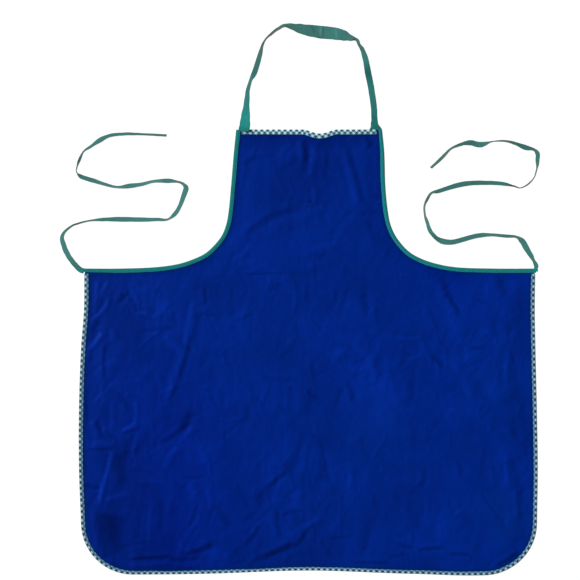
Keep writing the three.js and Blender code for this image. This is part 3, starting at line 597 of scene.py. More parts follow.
    (0.892, 0.527, 0.896, 0.572, 0.901, 0.613, 8.8, 0.06, -0.08),
    (0.704, 0.543, 0.730, 0.572, 0.752, 0.601, 8.8, 0.09, -0.08),
    (0.669, 0.561, 0.691, 0.586, 0.713, 0.604, 5.3, -0.11, 0.04),
    (0.800, 0.556, 0.805, 0.586, 0.827, 0.622, 8.8, -0.07, 0.08),
    (0.433, 0.565, 0.446, 0.586, 0.464, 0.604, 7.0, 0.13, -0.04),
    (0.420, 0.482, 0.411, 0.518, 0.398, 0.547, 5.3, 0.07, -0.04),
    (0.455, 0.493, 0.455, 0.511, 0.450, 0.532, 2.8, -0.07, 0.04),
    (0.599, 0.628, 0.621, 0.631, 0.643, 0.628, 2.3, 0.14, 0.07),
    (0.678, 0.493, 0.691, 0.507, 0.687, 0.520, 4.4, -0.11, 0.04),
    (0.503, 0.763, 0.507, 0.784, 0.485, 0.804, 4.4, 0.12, -0.06),
    (0.485, 0.799, 0.442, 0.815, 0.389, 0.826, 2.8, 0.07, -0.03),
    (0.647, 0.741, 0.660, 0.759, 0.669, 0.781, 3.9, 0.17, -0.07),
    (0.555, 0.752, 0.555, 0.766, 0.560, 0.779, 2.8, -0.08, 0.04),
    (0.512, 0.820, 0.516, 0.844, 0.512, 0.869, 3.2, -0.08, 0.04),
    (0.560, 0.880, 0.577, 0.901, 0.577, 0.921, 10.5, -0.06, 0.07),
    (0.468, 0.858, 0.472, 0.878, 0.472, 0.898, 8.8, 0.06, -0.08),
    (0.455, 0.903, 0.459, 0.919, 0.459, 0.928, 3.5, 0.17, -0.08),
    (0.477, 0.944, 0.534, 0.941, 0.595, 0.939, 3.2, -0.39, -0.16),
    (0.380, 0.928, 0.420, 0.935, 0.459, 0.939, 2.8, -0.22, -0.18),
    (0.354, 0.959, 0.385, 0.957, 0.424, 0.955, 2.8, -0.23, -0.08),
    (0.617, 0.953, 0.656, 0.953, 0.704, 0.957, 3.2, -0.28, -0.17),
    (0.459, 0.932, 0.472, 0.946, 0.481, 0.962, 2.3, -0.10, 0.04),
    (0.818, 0.982, 0.870, 0.968, 0.923, 0.950, 4.6, -0.36, -0.17),
    (0.765, 0.826, 0.800, 0.851, 0.840, 0.878, 2.3, 0.23, -0.12),
    (0.840, 0.876, 0.844, 0.887, 0.848, 0.898, 3.5, 0.11, -0.04),
    (0.770, 0.815, 0.792, 0.806, 0.822, 0.802, 2.3, -0.07, -0.03),
    (0.862, 0.745, 0.862, 0.770, 0.866, 0.795, 3.2, -0.13, 0.06),
    (0.888, 0.736, 0.896, 0.777, 0.910, 0.808, 8.8, 0.09, -0.11),
    (0.918, 0.808, 0.927, 0.844, 0.927, 0.880, 5.3, 0.16, -0.08),
    (0.953, 0.842, 0.958, 0.856, 0.958, 0.869, 3.5, 0.17, -0.08),
    (0.879, 0.662, 0.896, 0.676, 0.892, 0.691, 7.0, 0.15, -0.06),
    (0.949, 0.797, 0.953, 0.811, 0.953, 0.826, 3.5, -0.08, 0.04),
    (0.945, 0.718, 0.953, 0.725, 0.953, 0.734, 3.5, 0.16, -0.06),
    (0.835, 0.718, 0.853, 0.732, 0.853, 0.745, 5.3, -0.08, 0.03),
    (0.752, 0.745, 0.757, 0.761, 0.743, 0.777, 3.5, 0.09, -0.04),
    (0.787, 0.696, 0.770, 0.725, 0.761, 0.750, 3.5, 0.07, -0.04),
    (0.800, 0.754, 0.805, 0.761, 0.813, 0.772, 2.8, 0.15, -0.05),
    (0.778, 0.664, 0.787, 0.669, 0.792, 0.678, 2.8, -0.23, 0.08),
    (0.634, 0.867, 0.647, 0.871, 0.660, 0.869, 3.5, -0.21, -0.14),
    (0.647, 0.842, 0.652, 0.856, 0.652, 0.862, 2.8, -0.08, 0.04),
    (0.612, 0.824, 0.617, 0.838, 0.612, 0.853, 2.8, 0.10, -0.04),
    (0.564, 0.847, 0.564, 0.860, 0.560, 0.871, 2.8, 0.09, -0.04),
    (0.730, 0.813, 0.735, 0.833, 0.726, 0.853, 5.3, -0.05, 0.02),
    (0.752, 0.910, 0.743, 0.935, 0.730, 0.953, 7.0, 0.07, -0.04),
    (-0.953, 0.698, -0.831, 0.856, -0.516, 0.964, 66.8, 0.03, -0.11),
    (-0.363, 0.941, -0.122, 0.950, 0.140, 0.959, 28.1, -0.03, -0.10),
    (-0.284, 0.021, 0.009, 0.023, 0.302, 0.021, 12.3, -0.08, -0.08),
    (0.262, 0.462, 0.332, 0.563, 0.315, 0.698, 52.7, -0.02, 0.07),
)
CREASES = [Crease(*row[:6], row[6] * MM, *row[7:]) for row in CREASE_ROWS]

# Wide patches of the cloth, chosen from its look in the photograph
# Their tone is painted light and shade; their green is a shift of the cloth's hue
SHADES = [
    Shade(0.0, 0.02, 90 * MM, -0.12, -0.05),
    Shade(0.28, 0.04, 45 * MM, -0.1, 0.0),
    Shade(0.62, 0.3, 50 * MM, -0.1, -0.14),
    Shade(0.86, 0.57, 90 * MM, 0.1, 0.08),
    Shade(0.27, 0.68, 75 * MM, 0.13, 0.1),
    Shade(0.85, 0.87, 50 * MM, 0.02, 0.2),
    Shade(-0.66, 0.63, 110 * MM, 0.0, -0.14),
    Shade(-0.55, 0.84, 120 * MM, 0.0, -0.17),
    Shade(-0.58, 0.96, 55 * MM, -0.12, -0.16),
    Shade(-0.86, 0.9, 50 * MM, -0.08, -0.1),
]

# Creases across the neck strap where it lies open, in shares of half the bib's width and of the
# strap's reach
STRAP_CREASES = [
    Ridge(0.026, 0.98, 0.05, 0.94, 0.08, 0.896, 3.0 * MM, -0.22 * MM),
    Ridge(0.191, 0.971, 0.19, 0.915, 0.185, 0.859, 2.4 * MM, -0.22 * MM),
    Ridge(0.16, 0.975, 0.158, 0.92, 0.152, 0.87, 3.4 * MM, 0.35 * MM),
    Ridge(0.36, 0.95, 0.368, 0.9, 0.375, 0.85, 2.4 * MM, 0.3 * MM),
]


class ClothSettings(PropertyGroup):
    colour: FloatVectorProperty(
        name="Cloth colour",
        description="Main colour of the blue cloth",
        subtype="COLOR",
        default=(0.0003, 0.0135, 0.175),
        min=0,
        max=1,
    )
    # Painted shade on the cloth beside the edge tapes
    seam_shade: FloatVectorProperty(
        name="Seam tint",
        description="How much the cloth is darkened beside the edge tapes",
        subtype="COLOR",
        default=(0.5, 1.0, 0.58),
        min=0,
        max=1,
    )
    lint_colour: FloatVectorProperty(
        name="Lint colour",
        description="Colour of the specks of lint on the cloth",
        subtype="COLOR",
        default=(0.10, 0.20, 0.42),
        min=0,
        max=1,
    )
    thickness: FloatProperty(
        name="Thickness",
        description="Thickness of the cloth",
        default=0.45 * MM,
        unit="LENGTH",
    )
    mesh_step: FloatProperty(
        name="Mesh step",
        description="Distance between the points of the cloth's face",
        default=2.8 * MM,
        unit="LENGTH",
    )
    under_step: FloatProperty(
        name="Mesh step below",
        description="Distance between the points of the cloth's underside",
        default=7.0 * MM,
        unit="LENGTH",
    )
    lift: FloatProperty(
        name="Lift",
        description="How high the cloth lies over the floor between its creases",
        default=2.6 * MM,
        unit="LENGTH",
    )
    crease_strength: FloatProperty(
        name="Crease strength",
        description="Share of the listed creases' slopes",
        default=1.0,
        subtype="FACTOR",
    )
    crumple_height: FloatProperty(
        name="Crumple height",
        description="Height of the soft crumples all over the cloth",
        default=0.7 * MM,
        unit="LENGTH",
    )
    small_creases: IntProperty(
        name="Small creases",
        description="How many small creases are scattered over the cloth",
        default=420,
    )
    small_crease_height: FloatProperty(
        name="Small crease height",
        description="Height of the tallest small creases",
        default=0.6 * MM,
        unit="LENGTH",
    )
    seed: IntProperty(
        name="Seed",
        description="Start value for the scatter of small creases",
        default=11,
    )


class TapeSettings(PropertyGroup):
    green: FloatVectorProperty(
        name="Green tape",
        description="Colour of the green tape where it is flat and clean",
        subtype="COLOR",
        default=(0.009, 0.168, 0.152),
        min=0,
        max=1,
    )
    faded_green: FloatVectorProperty(
        name="Faded green",
        description="Colour of the green tape where it is worn and creased",
        subtype="COLOR",
        default=(0.105, 0.135, 0.122),
        min=0,
        max=1,
    )
    binding_green: FloatVectorProperty(
        name="Binding green",
        description="Colour of the armhole tape along its fold",
        subtype="COLOR",
        default=(0.006, 0.155, 0.125),
        min=0,
        max=1,
    )
    bluish_green: FloatVectorProperty(
        name="Bluish green",
        description="Colour of the armhole tape's leaf, with the blue cloth behind it",
        subtype="COLOR",
        default=(0.004, 0.165, 0.215),
        min=0,
        max=1,
    )
    check_light: FloatVectorProperty(
        name="Light check",
        description="Colour of the checked tape's pale squares",
        subtype="COLOR",
        default=(0.33, 0.45, 0.46),
        min=0,
        max=1,
    )
    check_middle: FloatVectorProperty(
        name="Middle check",
        description="Colour of the squares where one coloured stripe crosses a pale one",
        subtype="COLOR",
        default=(0.085, 0.17, 0.23),
        min=0,
        max=1,
    )
    check_dark: FloatVectorProperty(
        name="Dark check",
        description="Colour of the squares where two coloured stripes cross",
        subtype="COLOR",
        default=(0.005, 0.03, 0.04),
        min=0,
        max=1,
    )
    check_tint: FloatVectorProperty(
        name="Check tint",
        description="How the blue cloth behind colours the checked tape's inner edge",
        subtype="COLOR",
        default=(0.42, 0.68, 1.0),
        min=0,
        max=1,
    )
    check_size: FloatProperty(
        name="Check size",
        description="Side of one check",
        default=3.6 * MM,
        unit="LENGTH",
    )
    opened_width: FloatProperty(
        name="Opened width",
        description="Width of the green tape before it is folded",
        default=22.8 * MM,
        unit="LENGTH",
    )
    leaf: FloatProperty(
        name="Leaf",
        description="Thickness of each folded leaf of tape",
        default=0.42 * MM,
        unit="LENGTH",
    )
    stitch_pitch: FloatProperty(
        name="Stitch pitch",
        description="Distance from one stitch to the next",
        default=2.8 * MM,
        unit="LENGTH",
    )
    stitch_inset: FloatProperty(
        name="Stitch inset",
        description="Distance of the stitches from the tape's inner edge",
        default=1.2 * MM,
        unit="LENGTH",
    )
    thread: FloatProperty(
        name="Thread",
        description="Thickness of the sewing thread",
        default=0.38 * MM,
        unit="LENGTH",
    )


class StageSettings(PropertyGroup):
    camera_height: FloatProperty(
        name="Camera height",
        description="Height of the camera over the floor",
        default=2.4055,
        unit="LENGTH",
    )
    key_azimuth: FloatProperty(
        name="Key azimuth",
        description="Direction of the main light, anticlockwise from +X",
        default=math.radians(152),
        subtype="ANGLE",
    )
    key_elevation: FloatProperty(
        name="Key elevation",
        description="Height of the main light over the floor, as an angle",
        default=math.radians(28),
        subtype="ANGLE",
    )
    key_power: FloatProperty(
        name="Key power",
        description="Strength of the main light in watts a square metre",
        default=5.8,
    )
    sky_strength: FloatProperty(
        name="Sky strength",
        description="Strength of the even light from all round",
        default=0.27,
    )
    floor_glow: FloatProperty(
        name="Floor glow",
        description="Light that the white floor gives of itself, to keep it white",
        default=0.99,
    )


SETTINGS = {"apron_cloth": ClothSettings, "apron_tape": TapeSettings, "apron_stage": StageSettings}


def cloth_settings():
    return bpy.context.scene.apron_cloth


def tape_settings():
    return bpy.context.scene.apron_tape


def stage_settings():
    return bpy.context.scene.apron_stage


# Lines


def hump(distance, span):
    share = np.clip(np.abs(distance) / span, 0, 1)
    return (1 - share**2) ** 2


def smoothstep(value, start, end):
    share = np.clip((value - start) / (end - start), 0, 1)
    return share * share * (3 - 2 * share)


def smooth_curve(knots, per_row=24):
    """Close points of a centripetal Catmull-Rom curve, and how many rows along each of them lies."""
    knots = np.asarray(knots, float)
    padded = np.vstack([2 * knots[0] - knots[1], knots, 2 * knots[-1] - knots[-2]])
    share = np.linspace(0, 1, per_row, endpoint=False)[:, None]
    points, rows = [], []
    for i in range(len(knots) - 1):
        a, b, c, d = padded[i : i + 4]
        before, span, after = (math.sqrt(np.linalg.norm(q - p)) for p, q in ((a, b), (b, c), (c, d)))
        leave = ((b - a) / before - (c - a) / (before + span) + (c - b) / span) * span
        arrive = ((c - b) / span - (d - b) / (span + after) + (d - c) / after) * span
        square = -3 * b + 3 * c - 2 * leave - arrive
        cube = 2 * b - 2 * c + leave + arrive
        points.append(b + leave * share + square * share**2 + cube * share**3)
        rows.append(i + share[:, 0])
    points.append(knots[-1:])
    rows.append(np.array([len(knots) - 1.0]))
    return np.vstack(points), np.concatenate(rows)


def lengths_along(points):
    return np.concatenate([[0], np.cumsum(np.linalg.norm(np.diff(points, axis=0), axis=1))])


def evenly(points, step, rows=None):
    """The line again with even steps, the length along at each point, and the rows there."""
    along = lengths_along(points)
    count = max(round(along[-1] / step), 1)
    wanted = np.linspace(0, along[-1], count + 1)
    line = np.stack([np.interp(wanted, along, column) for column in points.T], axis=1)
    return line, wanted, None if rows is None else np.interp(wanted, along, rows)


def smoothed(values, passes):
    """A row of values with each eased towards its neighbours, its ends kept."""
    values = values.copy()
    for _ in range(passes):
        values[1:-1] = (values[:-2] + 2 * values[1:-1] + values[2:]) / 4
    return values


def left_normals(line, passes=4):
    """Unit vectors to the left of the line, which is towards the cloth."""
    tangent = smoothed(np.gradient(line, axis=0), passes)
    tangent /= np.linalg.norm(tangent, axis=1)[:, None]
    return np.stack([-tangent[:, 1], tangent[:, 0]], axis=1)


def eased(column, rows):
    """The values of a table's column part of the way between its rows."""
    column = np.asarray(column, float)
    first = np.clip(np.floor(rows).astype(int), 0, len(column) - 2)
    share = smoothstep(rows - first, 0, 1)
    return column[first] * (1 - share) + column[first + 1] * share


def side_x(side, row):
    return (-row.left if side < 0 else row.right) * SKIRT_WIDTH / 2


def bib_corner_x(side):
    return BIB_SHIFT + side * BIB_WIDTH / 2


# The lines of the outline run anticlockwise, so that the cloth is always on their left
def bib_top_line():
    x = np.linspace(bib_corner_x(1) - BESIDE_BINDING, bib_corner_x(-1) + BESIDE_BINDING, 120)
    y = BIB_TOP_Y - BIB_DIP * hump(x - BIB_DIP_PLACE, BIB_DIP_SPAN)
    return evenly(np.stack([x, y], axis=1), OUTLINE_STEP)[0]


def armhole_line(side):
    start, end = bib_corner_x(side), side_x(side, SIDES[0])
    shares = [row.left if side < 0 else row.right for row in ARMHOLES]
    knots = [
        (start + (end - start) * share, BIB_TOP_Y - row.down * BIB_DEPTH)
        for row, share in zip(ARMHOLES, shares)
    ]
    line = evenly(smooth_curve(knots)[0], OUTLINE_STEP)[0]
    return line if side < 0 else line[::-1]


def binding_line(side):
    """The armhole's line, led on past the waist corner to cover the start of the tie."""
    line = armhole_line(side)[::-side]
    step = (line[-1] - line[-2]) / np.linalg.norm(line[-1] - line[-2]) * OUTLINE_STEP
    past = line[-1] + step * np.arange(1, round(BINDING_REACH[side] / OUTLINE_STEP) + 1)[:, None]
    return np.vstack([line, past])[::-side]


def skirt_side(side):
    length = SKIRT_DEPTH - BESIDE_BINDING - CORNER_RADIUS
    top = WAIST_Y - BESIDE_BINDING
    knots = [(side_x(side, row), top - row.along * length) for row in SIDES]
    edge = side_x(side, SIDES[-1])
    turn = np.linspace(0, math.pi / 2, 40)[1:]
    corner = np.stack(
        [
            edge - side * CORNER_RADIUS * (1 - np.cos(turn)),
            HEM_Y + CORNER_RADIUS * (1 - np.sin(turn)),
        ],
        axis=1,
    )
    return np.vstack([smooth_curve(knots)[0], corner])


def hem_line():
    down, up = skirt_side(-1), skirt_side(1)[::-1]
    share = np.linspace(0, 1, 120)[1:-1, None]
    line = np.vstack([down, down[-1] * (1 - share) + up[0] * share, up])
    low = 1 - smoothstep(line[:, 1], HEM_Y, HEM_Y + CORNER_RADIUS)
    line[:, 1] += low * HEM_RISE * np.exp(-((line[:, 0] / HEM_RISE_SPAN) ** 2))
    line[:, 1] -= low * HEM_SAG * hump(line[:, 0] - HEM_SAG_PLACE, HEM_SAG_SPAN)
    return evenly(line, OUTLINE_STEP)[0]


def cloth_outline(inset):
    """The cloth's cut edge inside the tapes' folds, as one closed line with square corners."""
    left, right = armhole_line(-1), armhole_line(1)
    hem, bib = hem_line(), bib_top_line()
    stretches = [
        np.vstack([right[-1:], bib, left[:1]]),
        left,
        np.vstack([left[-1:], hem, right[:1]]),
        right,
    ]
    normals = [left_normals(line, passes=1) for line in stretches]
    points = []
    for i, line in enumerate(stretches):
        moved = line + normals[i] * inset
        moved[-1] += normals[(i + 1) % 4][0] * inset
        points.append(moved[1:])
    return np.vstack(points)


# The lie of the cloth


def cloth_place(across, down):
    depth = BIB_DEPTH + SKIRT_DEPTH
    return np.array([across * SKIRT_WIDTH / 2, BIB_TOP_Y - down * depth])


def bent_line(start, middle, end, count=9):
    share = np.linspace(0, 1, count)[:, None]
    through = 2 * middle - (start + end) / 2
    return (1 - share) ** 2 * start + 2 * share * (1 - share) * through + share**2 * end


def crease_line(crease, place):
    """The bent line through a crease's three places, which are given as shares."""
    return bent_line(*(place(*crease[i : i + 2]) for i in (0, 2, 4)))


def beside_line(points, line, reach):
    """The points near a line: which they are, how far to its left, and how far along it as a share."""
    low, high = line.min(axis=0) - reach, line.max(axis=0) + reach
    near = np.nonzero(((points > low) & (points < high)).all(axis=1))[0]
    place = points[near]
    total = lengths_along(line)[-1]
    nearest = np.full(len(near), np.inf)
    aside = np.zeros(len(near))
    along = np.zeros(len(near))
    passed = 0.0
    for a, b in zip(line[:-1], line[1:]):
        step = b - a
        length = np.linalg.norm(step)
        from_a = place - a
        held = np.clip(from_a @ step / length**2, 0, 1)
        apart = np.linalg.norm(from_a - held[:, None] * step, axis=1)
        closer = apart < nearest
        nearest[closer] = apart[closer]
        side = np.sign(step[0] * from_a[:, 1] - step[1] * from_a[:, 0])
        aside[closer] = (side * apart)[closer]
        along[closer] = (passed + held[closer] * length) / total
        passed += length
    return near, aside, along


# How far a ridge reaches to each side as a share of its spread, and a crease's tilt and its painted
# light and shade as shares of its reach
RIDGE_REACH = 1.6
TILT_REACH = 3.2
TONE_REACH = 1.9
# How much of the cloth's creases is left under the tapes
UNDER_TAPE = 0.3


def add_ridge(height, points, line, spread, rise):
    """Raises the points near the line, most along its crest, and less towards its ends."""
    near, aside, along = beside_line(points, line, spread * RIDGE_REACH)
    crest = np.clip(1 - np.abs(aside) / (spread * RIDGE_REACH), 0, 1)
    profile = 0.55 * crest**1.5 + 0.45 * crest**2 * (3 - 2 * crest)
    ends = np.clip(np.minimum(along, 1 - along) * 4, 0, 1)
    height[near] += rise * profile * (0.25 + 0.75 * smoothstep(ends, 0, 1))


def add_tilt(height, points, line, reach, slope):
    """Tilts a band along the line, so that it falls towards the line's left, and leads it back to
    level on both sides."""
    near, aside, along = beside_line(points, line, reach * TILT_REACH)
    share = aside / reach
    fade = smoothstep(np.minimum(along, 1 - along), 0, 0.14)
    height[near] -= slope * reach * share * np.exp(-(share**2) / 2) * fade


def cloth_painted_shading(points):
    """Painted light and shade of the cloth at each point, along its creases and in wide patches."""
    tone = np.zeros(len(points))
    for crease in CREASES:
        line = crease_line(crease, cloth_place)
        near, aside, along = beside_line(points, line, crease.reach * TONE_REACH)
        body = 1 - smoothstep(np.abs(aside) / crease.reach, 0.45, 1.75)
        ends = smoothstep(np.minimum(along, 1 - along), -0.04, 0.1)
        tone[near] += crease.tone * body * ends
    return tone + wide_shades(points, "tone")


def wide_shades(points, key):
    shades = np.zeros(len(points))
    for shade in SHADES:
        away = np.linalg.norm(points - cloth_place(shade.across, shade.down), axis=1)
        shades += getattr(shade, key) * np.exp(-((away / shade.reach) ** 2))
    return shades


# Turn of the small creases in degrees, middle and spread, and the ranges that their half length,
# bow, half width and share of the tallest height are drawn from
SMALL_TURN = (80, 42)
SMALL_HALF_LENGTH = (9 * MM, 38 * MM)
SMALL_BOW = (-0.25, 0.25)
SMALL_SPREAD = (3.2 * MM, 8 * MM)
SMALL_HEIGHT = (0.25, 1.0)


def scattered_creases():
    """Small creases at places, turns and sizes drawn from one seeded row of numbers."""
    cloth = cloth_settings()
    draw = np.random.default_rng(cloth.seed)
    for _ in range(cloth.small_creases):
        middle = np.array([draw.uniform(-0.5, 0.5) * SKIRT_WIDTH, draw.uniform(HEM_Y, BIB_TOP_Y)])
        turn = math.radians(draw.normal(*SMALL_TURN))
        half = draw.uniform(*SMALL_HALF_LENGTH)
        arm = np.array([math.cos(turn), math.sin(turn)]) * half
        bow = np.array([-arm[1], arm[0]]) * draw.uniform(*SMALL_BOW)
        spread = draw.uniform(*SMALL_SPREAD)
        rise = draw.choice([-1, 1]) * draw.uniform(*SMALL_HEIGHT) * cloth.small_crease_height
        yield bent_line(middle - arm, middle + bow, middle + arm, 5), spread, rise


def soft_noise(points, size, layer):
    return np.array([noise.noise((x / size, y / size, layer)) for x, y in points])


def noise_along(along, size, layer):
    return soft_noise(np.stack([along, 0 * along], axis=1), size, layer)


def cloth_height(points, inset):
    """Height of the cloth's underside over the floor. inset is how far each point is from the edge."""
    cloth = cloth_settings()
    soft = sum(row.share * soft_noise(points, row.size, row.layer) for row in CRUMPLES)
    height = soft * cloth.crumple_height
    for line, spread, rise in scattered_creases():
        add_ridge(height, points, line, spread, rise)
    for crease in CREASES:
        slope = crease.slope * cloth.crease_strength
        add_tilt(height, points, crease_line(crease, cloth_place), crease.reach, slope)
    height *= UNDER_TAPE + (1 - UNDER_TAPE) * smoothstep(inset, 0.6 * TAPE_WIDTH, 1.6 * TAPE_WIDTH)
    under_tape = tape_settings().leaf + cloth.thickness
    inner = smoothstep(inset, TAPE_WIDTH, 5 * TAPE_WIDTH)
    height += under_tape * (1 - inner) + cloth.lift * inner
    # Low places flatten out softly over the floor, or over the tape's lower leaf
    softness = 0.3 * MM
    lowest = 2 * FLOOR_GAP * inner + 0.8 * under_tape * (1 - inner)
    return lowest + softness * np.logaddexp(0, (height - lowest) / softness)


# Meshes


def add_object(name, data):
    thing = bpy.data.objects.new(name, data)
    bpy.context.scene.collection.objects.link(thing)
    return thing


def new_piece(name, vertices, faces, material, places=None, **values):
    """A smooth mesh object with one material, and with named values at its points."""
    mesh = bpy.data.meshes.new(name)
    mesh.from_pydata(np.asarray(vertices, float).tolist(), [], faces)
    mesh.polygons.foreach_set("use_smooth", np.ones(len(mesh.polygons), bool))
    mesh.materials.append(material)
    if places is not None:
        attribute = mesh.attributes.new("tape_place", "FLOAT_VECTOR", "POINT")
        attribute.data.foreach_set("vector", np.asarray(places, np.float32).ravel())
    for key, value in values.items():
        attribute = mesh.attributes.new(key, "FLOAT", "POINT")
        attribute.data.foreach_set("value", np.asarray(value, np.float32).ravel())
    mesh.validate()
    mesh.update()
    return add_object(name, mesh)


def strip_faces(count, size):
    """Faces of a closed skin over a row of rings, each a strip's one side and then its other side
    backwards, with both ends closed."""
    faces = []
    for i in range(count - 1):
        for k in range(size):
            a, b = i * size + k, i * size + (k + 1) % size
            faces.append((a, b, b + size, a + size))
    last = (count - 1) * size
    for k in range(size // 2 - 1):
        other = size - 1 - k
        faces.append((k, other, other - 1, k + 1))
        faces.append((last + k, last + k + 1, last + other - 1, last + other))
    return faces


# Places along a stitch as shares of its length, each with its share of the thread's girth
STITCH_STATIONS = ((-0.5, 0.0), (-0.44, 0.62), (-0.2, 1.0), (0.2, 1.0), (0.44, 0.62), (0.5, 0.0))
STITCH_SIDES = 6
STITCH_SHARE = 0.78
SEAM_START = 1.5 * MM


def stitch_piece(name, line, up, material):
    """A row of stitches along a line, each a short bar of thread that dips into the tape at its ends."""
    thread, pitch = tape_settings().thread, tape_settings().stitch_pitch
    along = lengths_along(line)
    count = int((along[-1] - 2 * SEAM_START) / pitch)
    middles = SEAM_START + (np.arange(count) + 0.5) * pitch
    at = np.stack([np.interp(middles, along, column) for column in line.T], axis=1)
    ahead = np.stack([np.interp(middles + pitch / 4, along, column) for column in line.T], axis=1)
    lift = np.stack([np.interp(middles, along, column) for column in up.T], axis=1)
    lift /= np.linalg.norm(lift, axis=1)[:, None]
    forward = ahead - at
    forward /= np.linalg.norm(forward, axis=1)[:, None]
    aside = np.cross(lift, forward)
    sides = STITCH_SIDES
    vertices, faces = [], []
    for n in range(count):
        base = len(vertices)
        for share, girth in STITCH_STATIONS:
            centre = at[n] + forward[n] * share * pitch * STITCH_SHARE
            centre = centre + lift[n] * thread * (0.18 - 0.5 * (2 * share) ** 4)
            if girth == 0:
                vertices.append(centre)
                continue
            for k in range(sides):
                turn = 2 * math.pi * k / sides
                across = aside[n] * math.cos(turn) * girth * thread / 2
                vertices.append(centre + across + lift[n] * math.sin(turn) * girth * thread * 0.4)
        first, end = base, base + 1 + 4 * sides
        for k in range(sides):
            after = (k + 1) % sides
            faces.append((first, first + 1 + after, first + 1 + k))
            for ring in range(3):
                a = first + 1 + ring * sides
                faces.append((a + k, a + after, a + sides + after, a + sides + k))
            faces.append((end, end - sides + k, end - sides + after))
    return new_piece(name, vertices, faces, material)


def finish_piece(piece, slot, *nodes):
    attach(piece, BODY)
    if nodes:
        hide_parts(*nodes)
    return piece


# Shader node groups and materials


class Nodes:
    """Adds nodes to one tree and links them, so that each material reads as a short list."""

    def __init__(self, tree):
        self.tree = tree
        self.column = 0

    def add(self, kind, inputs=None, **settings):
        node = self.tree.nodes.new(kind)
        node.location = (self.column * 190 - 1800, -(self.column % 3) * 160)
        self.column += 1
        for key, value in settings.items():
            setattr(node, key, value)
        for key, value in (inputs or {}).items():
            self.put(node.inputs[key], value)
        return node

    def put(self, socket, value):
        if isinstance(value, NodeSocket):
            self.tree.links.new(value, socket)
        elif hasattr(value, "__len__") and socket.type == "RGBA":
            socket.default_value = tuple(value)[:3] + (1.0,)
        elif hasattr(value, "__len__"):
            socket.default_value = tuple(value)
        else:
            socket.default_value = value

    def maths(self, operation, *values):
        node = self.add("ShaderNodeMath", operation=operation)
        for i, value in enumerate(values):
            self.put(node.inputs[i], value)
        return node.outputs[0]

    def times(self, first, second):
        return self.maths("MULTIPLY", first, second)

    def plus(self, first, second):
        return self.maths("ADD", first, second)

    def vector(self, operation, *values):
        node = self.add("ShaderNodeVectorMath", operation=operation)
        for i, value in enumerate(values):
            self.put(node.inputs["Scale" if operation == "SCALE" and i == 1 else i], value)
        return node.outputs["Value" if operation in ("LENGTH", "DOT_PRODUCT") else 0]

    def mix(self, share, first, second, blend="MIX"):
        node = self.add("ShaderNodeMix", data_type="RGBA", blend_type=blend)
        self.put(node.inputs[0], share)
        self.put(node.inputs[6], first)
        self.put(node.inputs[7], second)
        return node.outputs[2]

    def ramp(self, value, low, high, to_low=0.0, to_high=1.0):
        node = self.add(
            "ShaderNodeMapRange",
            {"Value": value, "From Min": low, "From Max": high, "To Min": to_low, "To Max": to_high},
            interpolation_type="SMOOTHSTEP",
        )
        return node.outputs[0]

    def noise(self, place, scale, detail=2.0, roughness=0.5):
        inputs = {"Vector": place, "Scale": scale, "Detail": detail, "Roughness": roughness}
        return self.add("ShaderNodeTexNoise", inputs).outputs["Fac"]

    def attribute(self, name, output="Fac"):
        node = self.add("ShaderNodeAttribute", attribute_name=name, attribute_type="GEOMETRY")
        return node.outputs[output]

    def scaled(self, start, value, amount):
        """start + value * amount"""
        return self.plus(start, self.times(value, amount))

    def toned(self, shade):
        """The shade, lighter or darker by the painted light and shade at the surface's points."""
        return self.times(shade, self.plus(1.0, self.attribute("nap_tone")))

    def bumped(self, height):
        return self.add("ShaderNodeBump", {"Height": height, "Distance": 1.0, "Strength": 1.0}).outputs[0]

    def shader(self, base, roughness, specular, more=None):
        """The material's shader. Plain numbers and colours go onto its own sockets."""
        inputs = {"Base Color": base, "Roughness": roughness, "Specular IOR Level": specular}
        shader = self.add("ShaderNodeBsdfPrincipled", {**inputs, **(more or {})})
        self.add("ShaderNodeOutputMaterial", {"Surface": shader.outputs[0]}).location = (900, 0)


def node_group(name, inputs, outputs):
    """A new shader node group, with its helper and its input and output nodes. Each input is a name,
    a kind of socket and a value to start with."""
    group = bpy.data.node_groups.new(name, "ShaderNodeTree")
    for title, kind, value in inputs:
        socket = group.interface.new_socket(name=title, in_out="INPUT", socket_type="NodeSocket" + kind)
        if value is not None:
            socket.default_value = value
    for title, kind in outputs:
        group.interface.new_socket(name=title, in_out="OUTPUT", socket_type="NodeSocket" + kind)
    nodes = Nodes(group)
    return group, nodes, nodes.add("NodeGroupInput").outputs, nodes.add("NodeGroupOutput")


def use_group(nodes, group, **inputs):
    node = nodes.add("ShaderNodeGroup", node_tree=group)
    for key, value in inputs.items():
        nodes.put(node.inputs[key], value)
    return node.outputs


def weave_group():
    """Crossed threads at a chosen turn, as a height and as a soft lightness."""
    group, nodes, given, result = node_group(
        "Weave",
        [("Place", "Vector", None), ("Thread", "Float", 0.5 * MM), ("Turn", "Float", 0.0)],
        [("Height", "Float"), ("Lightness", "Float")],
    )
    turned = nodes.add(
        "ShaderNodeVectorRotate",
        {"Vector": given["Place"], "Angle": given["Turn"]},
        rotation_type="Z_AXIS",
    ).outputs[0]
    wander = nodes.noise(turned, 90.0, 1.0)
    parts = nodes.add("ShaderNodeSeparateXYZ", {"Vector": turned}).outputs
    speed = nodes.maths("DIVIDE", 2 * math.pi, given["Thread"])
    waves = []
    for axis in (0, 1):
        phase = nodes.times(parts[axis], speed)
        phase = nodes.plus(phase, nodes.times(wander, 5.0))
        waves.append(nodes.maths("SINE", phase))
    height = nodes.times(nodes.times(waves[0], waves[1]), 0.5)
    slub = nodes.noise(nodes.vector("MULTIPLY", turned, (1.0, 0.08, 1.0)), 900.0, 1.0)
    slub_across = nodes.noise(nodes.vector("MULTIPLY", turned, (0.08, 1.0, 1.0)), 900.0, 1.0)
    light = nodes.scaled(nodes.plus(slub, slub_across), height, 0.5)
    nodes.put(result.inputs["Height"], height)
    nodes.put(result.inputs["Lightness"], nodes.maths("SUBTRACT", light, 1.0))
    return group


